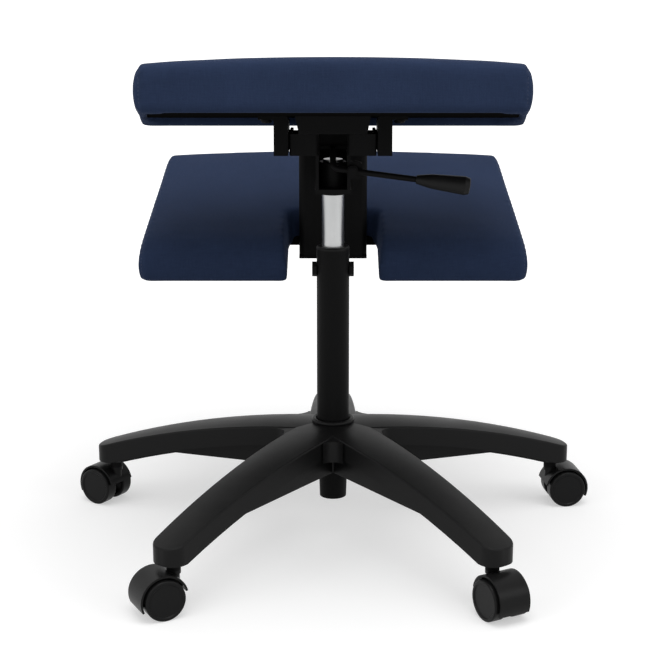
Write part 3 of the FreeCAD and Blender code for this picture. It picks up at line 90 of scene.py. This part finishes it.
def seen_directly(tree):
    """One for what the camera sees, straight on, in a mirror or through glass."""
    path = tree.nodes.new("ShaderNodeLightPath")
    total = path.outputs["Is Camera Ray"]
    for name in ("Is Glossy Ray", "Is Transmission Ray"):
        joined = tree.nodes.new("ShaderNodeMath")
        joined.operation = "MAXIMUM"
        tree.links.new(total, joined.inputs[0])
        tree.links.new(path.outputs[name], joined.inputs[1])
        total = joined.outputs[0]
    return total


world = bpy.data.worlds.new("studio")
scene.world = world
world.use_nodes = True
sky = world.node_tree.nodes["Background"]
sky.inputs["Color"].default_value = (1, 1, 1, 1)
level = world.node_tree.nodes.new("ShaderNodeMapRange")
level.inputs["To Min"].default_value = SKY_LIGHT
level.inputs["To Max"].default_value = SKY_SEEN
world.node_tree.links.new(seen_directly(world.node_tree), level.inputs["Value"])
world.node_tree.links.new(level.outputs["Result"], sky.inputs["Strength"])

floor_paint = bpy.data.materials.new("studio_floor")
floor_paint.use_nodes = True
matt = floor_paint.node_tree.nodes["Principled BSDF"]
matt.inputs["Base Color"].default_value = (FLOOR_TONE, FLOOR_TONE, FLOOR_TONE, 1)
matt.inputs["Roughness"].default_value = 0.9
matt.inputs["Specular IOR Level"].default_value = 0.0
matt.inputs["Emission Color"].default_value = (1, 1, 1, 1)
paint_tree = floor_paint.node_tree
spot = paint_tree.nodes.new("ShaderNodeTexCoord")
away = paint_tree.nodes.new("ShaderNodeVectorMath")
away.operation = "LENGTH"
paint_tree.links.new(spot.outputs["Object"], away.inputs[0])
rise = paint_tree.nodes.new("ShaderNodeMapRange")
for key, value in FLOOR_LIFT.items():
    rise.inputs[key].default_value = value
paint_tree.links.new(away.outputs["Value"], rise.inputs["Value"])
lift = paint_tree.nodes.new("ShaderNodeMath")
lift.operation = "MULTIPLY"
paint_tree.links.new(seen_directly(paint_tree), lift.inputs[0])
paint_tree.links.new(rise.outputs["Result"], lift.inputs[1])
paint_tree.links.new(lift.outputs[0], matt.inputs["Emission Strength"])

ground = bpy.data.meshes.new("studio_floor")
corners = [(FLOOR_HALF * x, FLOOR_HALF * y, 0) for x, y in ((-1, -1), (1, -1), (1, 1), (-1, 1))]
ground.from_pydata(corners, [], [(0, 1, 2, 3)])
floor = bpy.data.objects.new("studio_floor", ground)
ground.materials.append(floor_paint)
scene.collection.objects.link(floor)


def softbox(name, place, target, width, power):
    lamp = bpy.data.lights.new(name, "AREA")
    lamp.size = width
    lamp.energy = power
    holder = bpy.data.objects.new(name, lamp)
    holder.location = place
    holder.rotation_euler = (Vector(target) - Vector(place)).to_track_quat("-Z", "Y").to_euler()
    scene.collection.objects.link(holder)


softbox("top_lamp", (0.2, -0.8, 3.0), (0, -0.1, 0.3), 2.2, 44)
softbox("left_lamp", (-2.4, -1.8, 1.9), (0, 0, 0.4), 1.6, 16)
softbox("right_lamp", (2.6, -1.6, 1.6), (0, 0, 0.4), 1.4, 14)

# %% [markdown]
# Several finishes share the same small effects: a fine moulded grain, the tooth of powder coat,
# dust on upward faces.
# Each effect is built once as a shader node group with named inputs, and every material sets its own values.
# A group only puts out numbers and colours. The surface shader itself stays in the material.

# %% Helpers for node groups
def new_group(name, inputs, outputs):
    group = bpy.data.node_groups.new(name, "ShaderNodeTree")
    for label, kind, value in inputs:
        socket = group.interface.new_socket(label, in_out="INPUT", socket_type=kind)
        if value is not None:
            socket.default_value = value
    for label, kind in outputs:
        group.interface.new_socket(label, in_out="OUTPUT", socket_type=kind)
    return group, group.nodes.new("NodeGroupInput"), group.nodes.new("NodeGroupOutput")


def node(tree, kind, inputs=None, **settings):
    """A node with its settings made, its inputs linked from sockets or set to values."""
    made = tree.nodes.new(kind)
    for key, value in settings.items():
        setattr(made, key, value)
    for key, value in (inputs or {}).items():
        if isinstance(value, bpy.types.NodeSocket):
            tree.links.new(value, made.inputs[key])
        else:
            made.inputs[key].default_value = value
    return made


def sums(tree, operation, first, second=0.0, third=0.0):
    """The result of a Math node."""
    return node(tree, "ShaderNodeMath", {0: first, 1: second, 2: third}, operation=operation).outputs[0]


# %% Grain group
def make_grain():
    """Fine moulded grain: two sizes of noise for the height, and a slow drift for tone and gloss."""
    group, given, result = new_group(
        "moulded_grain",
        [("Vector", "NodeSocketVector", None), ("Scale", "NodeSocketFloat", 900.0),
         ("Drift", "NodeSocketFloat", 9.0)],
        [("Height", "NodeSocketFloat"), ("Tone", "NodeSocketFloat")])
    place = given.outputs["Vector"]
    fine = node(group, "ShaderNodeTexNoise", {
        "Vector": place, "Scale": given.outputs["Scale"], "Detail": 2.0, "Roughness": 0.6})
    slow = node(group, "ShaderNodeTexNoise", {
        "Vector": place, "Scale": given.outputs["Drift"], "Detail": 4.0, "Roughness": 0.55})
    group.links.new(fine.outputs["Fac"], result.inputs["Height"])
    group.links.new(slow.outputs["Fac"], result.inputs["Tone"])
    return group


GRAIN = make_grain()


# %% Dust group
def make_dust():
    """A thin, uneven veil of dust on faces that look up."""
    group, given, result = new_group(
        "settled_dust",
        [("Vector", "NodeSocketVector", None), ("Normal", "NodeSocketVector", None),
         ("Amount", "NodeSocketFloat", 0.3)],
        [("Mask", "NodeSocketFloat")])
    up = node(group, "ShaderNodeSeparateXYZ", {0: given.outputs["Normal"]}).outputs["Z"]
    facing = node(group, "ShaderNodeMapRange", {"Value": up, "From Min": 0.35, "From Max": 1.0})
    cloud = node(group, "ShaderNodeTexNoise", {
        "Vector": given.outputs["Vector"], "Scale": 35.0, "Detail": 5.0})
    speck = node(group, "ShaderNodeMapRange", {
        "Value": cloud.outputs["Fac"], "From Min": 0.35, "From Max": 0.75})
    veil = sums(group, "MULTIPLY", facing.outputs["Result"], speck.outputs["Result"])
    group.links.new(sums(group, "MULTIPLY", veil, given.outputs["Amount"]), result.inputs["Mask"])
    return group


DUST = make_dust()
print("groups:", [g.name for g in bpy.data.node_groups])

# %% [markdown]
# The cover is a plain-woven navy upholstery cloth. A weave is two sets of threads that take turns on top,
# which two sine waves multiplied together describe well.
# Each face of the cushion needs the pattern laid flat on it,
# so the group picks the two coordinates that lie in the face, from the direction in which the face looks.

# %% Weave group
def make_weave():
    group, given, result = new_group(
        "plain_weave",
        [("Vector", "NodeSocketVector", None), ("Normal", "NodeSocketVector", None),
         ("Pitch", "NodeSocketFloat", 0.0016),
         ("Dark Thread", "NodeSocketColor", (0, 0, 0, 1)), ("Light Thread", "NodeSocketColor", (1, 1, 1, 1))],
        [("Color", "NodeSocketColor"), ("Height", "NodeSocketFloat"), ("Roughness", "NodeSocketFloat")])
    place = node(group, "ShaderNodeSeparateXYZ", {0: given.outputs["Vector"]})
    look = node(group, "ShaderNodeSeparateXYZ", {0: given.outputs["Normal"]})
    away = {axis: sums(group, "ABSOLUTE", look.outputs[axis]) for axis in "XYZ"}
    on_side = sums(group, "GREATER_THAN", away["X"], 0.66)
    on_end = sums(group, "GREATER_THAN", away["Y"], away["Z"])

    def choose(mask, off, on):
        return node(group, "ShaderNodeMix", {0: mask, 2: off, 3: on}).outputs[0]

    across = choose(on_side, place.outputs["X"], place.outputs["Y"])
    along = choose(on_side, choose(on_end, place.outputs["Y"], place.outputs["Z"]), place.outputs["Z"])
    threads = [sums(group, "DIVIDE", value, given.outputs["Pitch"]) for value in (across, along)]
    cell = node(group, "ShaderNodeCombineXYZ", {0: threads[0], 1: threads[1]}).outputs[0]
    waves = [sums(group, "SINE", sums(group, "MULTIPLY", value, math.tau)) for value in threads]
    over = sums(group, "MULTIPLY_ADD", sums(group, "MULTIPLY", waves[0], waves[1]), 0.5, 0.5)
    slubs = []
    for squeeze in ((0.09, 1.0, 1.0), (1.0, 0.09, 1.0)):
        drawn = node(group, "ShaderNodeMapping", {"Vector": cell, "Scale": squeeze}).outputs[0]
        threads_vary = node(group, "ShaderNodeTexNoise", {"Vector": drawn, "Scale": 1.1, "Detail": 2.0})
        slubs.append(threads_vary.outputs["Fac"])
    slub = choose(over, slubs[0], slubs[1])
    mottle = node(group, "ShaderNodeTexNoise", {"Vector": cell, "Scale": 0.02, "Detail": 3.0}).outputs["Fac"]
    tone = sums(group, "MULTIPLY_ADD", over, 0.35, sums(group, "MULTIPLY_ADD", slub, 0.55, -0.07))
    tone = sums(group, "MULTIPLY_ADD", mottle, 0.3, sums(group, "SUBTRACT", tone, 0.15))
    dyes = {6: given.outputs["Dark Thread"], 7: given.outputs["Light Thread"]}
    cloth = node(group, "ShaderNodeMix", {0: tone, **dyes}, data_type="RGBA").outputs[2]
    group.links.new(cloth, result.inputs["Color"])
    group.links.new(sums(group, "MULTIPLY_ADD", slub, 0.5, over), result.inputs["Height"])
    group.links.new(sums(group, "MULTIPLY_ADD", tone, 0.12, 0.78), result.inputs["Roughness"])
    return group


WEAVE = make_weave()
print("weave sockets:", [s.name for s in WEAVE.interface.items_tree])

# %% [markdown]
# Each finish is now a short material: coordinates, the groups it uses, and one surface shader.
# Object coordinates keep a pattern fixed to its piece when the chair turns.

# %% Helpers for materials
def new_material(name):
    made = bpy.data.materials.new(name)
    made.use_nodes = True
    tree = made.node_tree
    coordinates = tree.nodes.new("ShaderNodeTexCoord")
    return made, tree, tree.nodes["Principled BSDF"], coordinates


def use(tree, group, inputs):
    return node(tree, "ShaderNodeGroup", inputs, node_tree=group)


def ramp(tree, value, low, high):
    """A number from 0 to 1 spread between two others."""
    return node(tree, "ShaderNodeMapRange", {"Value": value, "From Min": 0.3, "From Max": 0.7, "To Min": low,
                                             "To Max": high}).outputs["Result"]


def shade(tree, value, low, high):
    """A number from 0 to 1 spread between two colours."""
    return node(tree, "ShaderNodeMix", {0: value, 6: (*low, 1), 7: (*high, 1)}, data_type="RGBA").outputs[2]


def bump(tree, height, strength, distance):
    made = node(tree, "ShaderNodeBump", {"Height": height, "Strength": strength, "Distance": distance})
    return made.outputs[0]


# %% Moulded and painted finishes
DUST_GREY = (0.11, 0.107, 0.103, 1)


def grained(name, low, high, gloss, scale, depth, dust, mirror):
    """A dark moulded or painted surface with grain, slow changes of gloss, and a trace of dust."""
    made, tree, surface, at = new_material(name)
    grain = use(tree, GRAIN, {"Vector": at.outputs["Object"], "Scale": scale})
    veil = use(tree, DUST, {"Vector": at.outputs["Object"], "Normal": at.outputs["Normal"], "Amount": dust})
    plain = shade(tree, grain.outputs["Tone"], low, high)
    grey = node(tree, "ShaderNodeMix", {0: veil.outputs["Mask"], 6: plain, 7: DUST_GREY}, data_type="RGBA")
    tree.links.new(grey.outputs[2], surface.inputs["Base Color"])
    dulled = sums(tree, "MULTIPLY_ADD", veil.outputs["Mask"], 0.3, ramp(tree, grain.outputs["Tone"], *gloss))
    tree.links.new(dulled, surface.inputs["Roughness"])
    tree.links.new(bump(tree, grain.outputs["Height"], 0.5, depth), surface.inputs["Normal"])
    surface.inputs["Specular IOR Level"].default_value = mirror
    return made


# For each finish: dark tone, light tone, range of roughness, grain scale, grain depth, dust, mirror.
DARK_FINISHES = {
    "base_nylon": ((0.0045, 0.0045, 0.0046), (0.0078, 0.0078, 0.008),
                   (0.40, 0.50), 1500, 0.00012, 0.03, 0.12),
    "castor_nylon": ((0.0042, 0.0042, 0.0043), (0.007, 0.007, 0.0072),
                     (0.30, 0.40), 1800, 0.00006, 0.03, 0.12),
    "black_steel": ((0.0035, 0.0035, 0.0036), (0.006, 0.006, 0.0062),
                    (0.48, 0.58), 700, 0.0001, 0.02, 0.06),
    "bush_plastic": ((0.0045, 0.0045, 0.0046), (0.0075, 0.0075, 0.0077),
                     (0.4, 0.48), 1600, 0.00006, 0.02, 0.12),
    "grip_plastic": ((0.008, 0.008, 0.0081), (0.0125, 0.0125, 0.0127),
                     (0.42, 0.52), 1300, 0.00012, 0.02, 0.12),
    "button_plastic": ((0.04, 0.04, 0.041), (0.06, 0.06, 0.06),
                       (0.4, 0.5), 1600, 0.00006, 0.0, 0.12),
}
finishes = {name: grained(name, *values) for name, values in DARK_FINISHES.items()}
print("grained finishes:", sorted(finishes))


# %% [markdown]
# Bare metal needs a different story: ground steel shows fine rings where the stone turned round it,
# and zinc plate shows a slight cloudiness. Both are metallic with a roughness that changes over the surface.

# %% Metal finishes
def metal(name, low, high, gloss, stretch, depth):
    made, tree, surface, at = new_material(name)
    drawn = node(tree, "ShaderNodeMapping", {"Vector": at.outputs["Object"], "Scale": stretch}).outputs[0]
    marks = node(tree, "ShaderNodeTexNoise", {
        "Vector": drawn, "Scale": 60.0, "Detail": 4.0, "Roughness": 0.7})
    cloud = use(tree, GRAIN, {"Vector": at.outputs["Object"], "Scale": 500.0, "Drift": 30.0})
    tree.links.new(shade(tree, cloud.outputs["Tone"], low, high), surface.inputs["Base Color"])
    tree.links.new(ramp(tree, marks.outputs["Fac"], *gloss), surface.inputs["Roughness"])
    tree.links.new(bump(tree, marks.outputs["Fac"], 0.25, depth), surface.inputs["Normal"])
    surface.inputs["Metallic"].default_value = 1.0
    return made


# For each metal: dark tone, light tone, range of roughness, stretch of the marks, depth of the marks.
METALS = {
    "chrome_tube": ((0.38, 0.385, 0.385), (0.45, 0.455, 0.455), (0.26, 0.38), (1, 1, 90), 0.00002),
    "zinc_steel": ((0.48, 0.48, 0.49), (0.60, 0.60, 0.60), (0.32, 0.46), (12, 12, 12), 0.00003),
}
for name, values in METALS.items():
    finishes[name] = metal(name, *values)
print("metal finishes:", sorted(METALS))


# %% [markdown]
# The boards under the cushions are plywood with a black stain. On a sawn edge the plies still show
# as thin bands, so a few bands across the board's thickness are laid in a frame
# that slopes as the board does.

# %% Stained board
PLY_PAIR = 0.0034
STAIN_TONES = ((0.003, 0.003, 0.003), (0.010, 0.0095, 0.009))


def stained_board(name, slope):
    made, tree, surface, at = new_material(name)
    turn = (slope, 0, 0)
    level = node(tree, "ShaderNodeMapping", {"Vector": at.outputs["Object"], "Rotation": turn}).outputs[0]
    height = node(tree, "ShaderNodeSeparateXYZ", {0: level}).outputs["Z"]
    plies = sums(tree, "SINE", sums(tree, "MULTIPLY", height, math.tau / PLY_PAIR))
    fibre = node(tree, "ShaderNodeMapping", {"Vector": level, "Scale": (8, 120, 120)}).outputs[0]
    noise = node(tree, "ShaderNodeTexNoise", {
        "Vector": fibre, "Scale": 3.0, "Detail": 6.0, "Roughness": 0.65})
    grain = noise.outputs["Fac"]
    tone = sums(tree, "MULTIPLY_ADD", plies, 0.12, grain)
    tree.links.new(shade(tree, tone, *STAIN_TONES), surface.inputs["Base Color"])
    tree.links.new(ramp(tree, grain, 0.6, 0.78), surface.inputs["Roughness"])
    tree.links.new(bump(tree, tone, 0.4, 0.0002), surface.inputs["Normal"])
    surface.inputs["Specular IOR Level"].default_value = 0.0
    return made


SEAT_SLOPE = math.radians(-8)
SHIN_SLOPE = math.radians(15.8)
board_finish = {"seat_board": stained_board("seat_board_stain", -SEAT_SLOPE),
                "knee_board": stained_board("knee_board_stain", -SHIN_SLOPE)}
print("boards:", sorted(board_finish))


# %% [markdown]
# The navy cloth has a soft sheen at grazing angles, like any napped fabric.
# The weave is laid in the cushion's own sloping frame, so its threads run square to the cushion's edges.

# %% Navy cloth
THREAD_PITCH = 0.0014
DARK_NAVY = (0.0108, 0.0187, 0.0438, 1)
LIGHT_NAVY = (0.0345, 0.0558, 0.1215, 1)


def navy_cloth(name, slope):
    made, tree, surface, at = new_material(name)
    turn = (-slope, 0, 0)
    place = node(tree, "ShaderNodeMapping", {"Vector": at.outputs["Object"], "Rotation": turn}).outputs[0]
    look = node(tree, "ShaderNodeMapping", {"Vector": at.outputs["Normal"], "Rotation": turn},
                vector_type="NORMAL").outputs[0]
    cloth = use(tree, WEAVE, {"Vector": place, "Normal": look, "Pitch": THREAD_PITCH,
                              "Dark Thread": DARK_NAVY, "Light Thread": LIGHT_NAVY})
    tree.links.new(cloth.outputs["Color"], surface.inputs["Base Color"])
    tree.links.new(cloth.outputs["Roughness"], surface.inputs["Roughness"])
    tree.links.new(bump(tree, cloth.outputs["Height"], 0.55, 0.0005), surface.inputs["Normal"])
    surface.inputs["Specular IOR Level"].default_value = 0.08
    surface.inputs["Sheen Weight"].default_value = 0.04
    surface.inputs["Sheen Roughness"].default_value = 0.45
    surface.inputs["Sheen Tint"].default_value = (0.55, 0.65, 1.0, 1)
    return made


seat_cloth = navy_cloth("navy_seat_cloth", SEAT_SLOPE)
shin_cloth = navy_cloth("navy_shin_cloth", SHIN_SLOPE)

# %% Give the hard pieces their finishes
slots = {entry["node"]: entry["material_slot"] for entry in frame["record"]["subparts"]}
for name, piece in nodes.items():
    finish = board_finish.get(name) or finishes.get(slots[name]) or seat_cloth
    piece.data.materials.clear()
    piece.data.materials.append(finish)
print("finished", len(nodes), "pieces with", len(finishes) + len(board_finish), "hard finishes")

# %% [markdown]
# A cushion is foam pressed into a sewn cover. Its solid gives the right outline, but its faces are too even.
# So a copy of it is remeshed to a fine net, the rim that is fixed to the board is pinned, and the rest
# is blown up a little as cloth. A point only moves outwards, and no further than a cap, because the solid
# already has the cushion's real size. The moves are then evened out, so that the cover has no creases.

# %% Cushion by cloth
NET_SIZE = 0.005
SEAT_PIN_HEIGHT, SEAT_SWELLING = 0.018, 0.003
SHIN_PIN_HEIGHT, SHIN_SWELLING = 0.020, 0.0035
PIN_FADE = 0.012
BLOWING_STEPS = 20
EVENING_ROUNDS = 30
SEAT = Matrix.Translation((0, -0.270, 0.5865)) @ Matrix.Rotation(SEAT_SLOPE, 4, "X")
SHIN = Matrix.Translation((0, 0.011, 0.3335)) @ Matrix.Rotation(SHIN_SLOPE, 4, "X")


def settled_mesh(piece):
    """The piece as its modifiers leave it, as a plain mesh."""
    seen = piece.evaluated_get(bpy.context.evaluated_depsgraph_get())
    return bpy.data.meshes.new_from_object(seen)


def netted(name, source, voxel):
    """A copy of a solid as an even net of small faces."""
    shape = bmesh.new()
    shape.from_mesh(nodes[source].data)
    bmesh.ops.remove_doubles(shape, verts=shape.verts, dist=1e-5)
    bmesh.ops.recalc_face_normals(shape, faces=shape.faces)
    mesh = bpy.data.meshes.new(name)
    shape.to_mesh(mesh)
    shape.free()
    piece = bpy.data.objects.new(name, mesh)
    scene.collection.objects.link(piece)
    remesh = piece.modifiers.new("net", "REMESH")
    remesh.mode = "VOXEL"
    remesh.voxel_size = voxel
    smooth = piece.modifiers.new("even", "CORRECTIVE_SMOOTH")
    smooth.use_only_smooth = True
    smooth.iterations = 1
    piece.data = settled_mesh(piece)
    piece.modifiers.clear()
    return piece


def evened(mesh, values, rounds):
    """Values of a net's points, each averaged with its neighbours' again and again."""
    beside = [[] for _ in values]
    for edge in mesh.edges:
        first, second = edge.vertices
        beside[first].append(second)
        beside[second].append(first)
    for _ in range(rounds):
        values = [(value + sum(values[j] for j in near)) / (1 + len(near))
                  for value, near in zip(values, beside)]
    return values


def inflate(piece, frame_of_pad, pinned_below, cap):
    """Blow the cover up as cloth above the pinned rim, by no more than the cap."""
    to_pad = frame_of_pad.inverted()
    start = [v.co.copy() for v in piece.data.vertices]
    outward = [v.normal.copy() for v in piece.data.vertices]
    rim = piece.vertex_groups.new(name="rim")
    for i, spot in enumerate(start):
        free = ((to_pad @ spot).z - pinned_below) / PIN_FADE
        rim.add([i], 1 - min(1.0, max(0.0, free)), "REPLACE")
    cloth = piece.modifiers.new("cover", "CLOTH")
    cloth.settings.vertex_group_mass = "rim"
    cloth.settings.quality = 5
    cloth.settings.mass = 0.3
    cloth.settings.tension_stiffness = 12
    cloth.settings.compression_stiffness = 12
    cloth.settings.bending_stiffness = 0.6
    cloth.settings.use_pressure = True
    cloth.settings.uniform_pressure_force = 4
    cloth.settings.effector_weights.gravity = 0
    for step in range(1, BLOWING_STEPS + 1):
        scene.frame_set(step)
    mesh = settled_mesh(piece)
    piece.modifiers.clear()
    piece.vertex_groups.clear()
    piece.data = mesh
    moves = [min(cap, max(0.0, (vertex.co - spot).dot(normal)))
             for vertex, spot, normal in zip(mesh.vertices, start, outward)]
    moves = evened(mesh, moves, EVENING_ROUNDS)
    for vertex, spot, normal, move in zip(mesh.vertices, start, outward, moves):
        vertex.co = spot + normal * move
    scene.frame_set(1)
    print(piece.name, "swelled by up to", round(1000 * max(moves), 1), "mm over", len(moves), "points")


seat_pad = netted("seat_pad", "seat_cushion", NET_SIZE)
shin_pad = netted("shin_pad", "knee_cushion", NET_SIZE)
inflate(seat_pad, SEAT, SEAT_PIN_HEIGHT, SEAT_SWELLING)
inflate(shin_pad, SHIN, SHIN_PIN_HEIGHT, SHIN_SWELLING)

# %% [markdown]
# The cover is cut from panels. One long panel runs up the back edge, over the top and down the front,
# and a panel closes each end. The seam between them draws the foam in to a narrow groove with small puckers.
# The groove is pressed into the finished net, because a remesh would have wiped it out.

# %% Seams
SEAM_INSET = 0.006
SEAM_REACH = 0.015
GROOVE_DEPTH = 0.0011
GROOVE_WIDTH = 0.0024
PUCKER_DEPTH = 0.00025
PUCKER_WIDTH = 0.008
PUCKER_PITCH = 0.013
CAP_HEIGHT = 0.03
SEAT_REAR_HALF, SEAT_FRONT_HALF, SEAT_DEPTH = 0.216, 0.2525, 0.338
SHIN_REAR_HALF, SHIN_FRONT_HALF, SHIN_DEPTH = 0.2535, 0.241, 0.307


def finer(piece):
    """Split every face in four, smoothly, so that the net is fine enough for a seam."""
    split = piece.modifiers.new("finer", "SUBSURF")
    split.levels = 1
    split.render_levels = 1
    piece.data = settled_mesh(piece)
    piece.modifiers.clear()
    for face in piece.data.polygons:
        face.use_smooth = True


def sew_ends(piece, frame_of_pad, half_at, middle, inset):
    """Press the two seams beside the end panels into the cover."""
    to_pad = frame_of_pad.inverted()
    touched = 0
    outward = [vertex.normal.copy() for vertex in piece.data.vertices]
    for vertex, normal in zip(piece.data.vertices, outward):
        spot = to_pad @ vertex.co
        look = to_pad.to_3x3() @ normal
        off = abs(spot.x) - (half_at(spot.y) - inset)
        on_cap = spot.z > middle or abs(look.y) > 0.5
        if abs(off) > SEAM_REACH or not on_cap:
            continue
        run = spot.y + spot.z
        groove = GROOVE_DEPTH * math.exp(-(off / GROOVE_WIDTH) ** 2)
        wave = math.sin(run * math.tau / PUCKER_PITCH)
        pucker = PUCKER_DEPTH * wave * math.exp(-(off / PUCKER_WIDTH) ** 2)
        vertex.co -= normal * (groove + pucker)
        touched += 1
    print(piece.name, "has", touched, "points drawn in at its seams")


def seat_half(along):
    share = min(1, max(0, along / SEAT_DEPTH))
    return SEAT_REAR_HALF + (SEAT_FRONT_HALF - SEAT_REAR_HALF) * share


def shin_half(along):
    share = min(1, max(0, along / SHIN_DEPTH))
    return SHIN_REAR_HALF + (SHIN_FRONT_HALF - SHIN_REAR_HALF) * share


for piece, pad, half in ((seat_pad, SEAT, seat_half), (shin_pad, SHIN, shin_half)):
    finer(piece)
    sew_ends(piece, pad, half, CAP_HEIGHT, SEAM_INSET)

# %% [markdown]
# Stitches repeat along a path, which is what Geometry Nodes are for. The seam's path is found by
# dropping points onto the finished cover, and a small tree then sets one short thread
# on every few millimetres of it.

# %% Seam paths
EDGE_GAP = 0.006
EDGE_STEP = 0.004
EDGE_DROPS = 8
TOP_DROPS = 60
REAR_HEM = 0.012
FRONT_TOP = 0.040
STAND_OFF = 0.1
DROP_HEIGHT = 0.2


def seam_path(piece, frame_of_pad, half_at, depth, hand, inset):
    """Points on the cover along one seam, from the rear hem over the top to the front hem."""
    to_pad = frame_of_pad.inverted()
    cover = BVHTree.FromObject(piece, bpy.context.evaluated_depsgraph_get())
    inner = depth - 2 * EDGE_GAP
    aims = [((0, 0, REAR_HEM + EDGE_STEP * i), (0, -STAND_OFF), (0, 1, 0)) for i in range(EDGE_DROPS)]
    aims += [((0, EDGE_GAP + inner * i / TOP_DROPS, 0), (DROP_HEIGHT, 0), (0, 0, -1))
             for i in range(TOP_DROPS + 1)]
    aims += [((0, depth, FRONT_TOP - EDGE_STEP * i), (0, STAND_OFF), (0, -1, 0)) for i in range(EDGE_DROPS)]
    spots = []
    for base, (lift_by, back_by), way in aims:
        x = hand * (half_at(base[1]) - inset)
        begin = Vector((x, base[1] + back_by, base[2] + lift_by))
        found = cover.ray_cast(frame_of_pad @ begin, frame_of_pad.to_3x3() @ Vector(way))[0]
        if found is not None and (not spots or (found - spots[-1]).length > 0.001):
            spots.append(found)
    return spots


def stitch_tree(material):
    tree = bpy.data.node_groups.new("seam_stitches", "GeometryNodeTree")
    tree.interface.new_socket("Path", in_out="INPUT", socket_type="NodeSocketGeometry")
    for label, value in (("Pitch", 0.0042), ("Length", 0.0028), ("Thread", 0.0006)):
        tree.interface.new_socket(label, in_out="INPUT", socket_type="NodeSocketFloat").default_value = value
    tree.interface.new_socket("Stitches", in_out="OUTPUT", socket_type="NodeSocketGeometry")
    given = tree.nodes.new("NodeGroupInput")
    result = tree.nodes.new("NodeGroupOutput")
    spaced = node(tree, "GeometryNodeResampleCurve", mode="LENGTH")
    tree.links.new(given.outputs["Path"], spaced.inputs["Curve"])
    tree.links.new(given.outputs["Pitch"], spaced.inputs["Length"])
    bead = node(tree, "GeometryNodeMeshUVSphere", {"Segments": 6, "Rings": 5, "Radius": 0.5})
    width = given.outputs["Thread"]
    size = node(tree, "ShaderNodeCombineXYZ", {0: given.outputs["Length"], 1: width, 2: width})
    tangent = tree.nodes.new("GeometryNodeInputTangent")
    turn = node(tree, "FunctionNodeAlignRotationToVector", {"Vector": tangent.outputs[0]}, axis="X")
    laid = node(tree, "GeometryNodeInstanceOnPoints", {
        "Points": spaced.outputs[0], "Instance": bead.outputs["Mesh"],
        "Rotation": turn.outputs[0], "Scale": size.outputs[0]})
    real = node(tree, "GeometryNodeRealizeInstances", {"Geometry": laid.outputs[0]})
    dyed = node(tree, "GeometryNodeSetMaterial", {"Geometry": real.outputs[0], "Material": material})
    tree.links.new(dyed.outputs[0], result.inputs["Stitches"])
    return tree


# %% Thread
def thread_finish():
    made, tree, surface, at = new_material("navy_thread")
    twist = node(tree, "ShaderNodeTexNoise", {"Vector": at.outputs["Object"], "Scale": 2600.0, "Detail": 2.0})
    dyed = shade(tree, twist.outputs["Fac"], (0.010, 0.016, 0.04), (0.04, 0.06, 0.13))
    tree.links.new(dyed, surface.inputs["Base Color"])
    tree.links.new(ramp(tree, twist.outputs["Fac"], 0.5, 0.7), surface.inputs["Roughness"])
    tree.links.new(bump(tree, twist.outputs["Fac"], 0.4, 0.0001), surface.inputs["Normal"])
    return made


thread = thread_finish()
STITCHES = stitch_tree(thread)


def sewn(name, paths):
    """Stitches along several paths, as one plain mesh."""
    line = bpy.data.curves.new(name, "CURVE")
    line.dimensions = "3D"
    for spots in paths:
        spline = line.splines.new("POLY")
        spline.points.add(len(spots) - 1)
        for point, spot in zip(spline.points, spots):
            point.co = (*spot, 1)
    carrier = bpy.data.objects.new(name + "_path", line)
    scene.collection.objects.link(carrier)
    carrier.modifiers.new("stitches", "NODES").node_group = STITCHES
    bpy.context.view_layer.update()
    mesh = settled_mesh(carrier)
    bpy.data.objects.remove(carrier)
    piece = bpy.data.objects.new(name, mesh)
    scene.collection.objects.link(piece)
    print(name, "has", len(mesh.polygons), "faces")
    return piece


SIDES = (-1, 1)
seat_stitches = sewn("seat_stitches", [
    seam_path(seat_pad, SEAT, seat_half, SEAT_DEPTH, hand, SEAM_INSET) for hand in SIDES])
shin_stitches = sewn("shin_stitches", [
    seam_path(shin_pad, SHIN, shin_half, SHIN_DEPTH, hand, SEAM_INSET) for hand in SIDES])

# %% [markdown]
# Every new piece now rides on the chair's frame, so that it rises and turns with the seat.
# The cushions take the place of their solids in the picture.

# %% Fix the soft pieces to the frame
for piece, cloth, stands_for in ((seat_pad, seat_cloth, "seat_cushion"),
                                 (shin_pad, shin_cloth, "knee_cushion")):
    piece.data.materials.clear()
    piece.data.materials.append(cloth)
    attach(piece, "frame")
    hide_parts(stands_for)
for piece in (seat_stitches, shin_stitches):
    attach(piece, "frame")
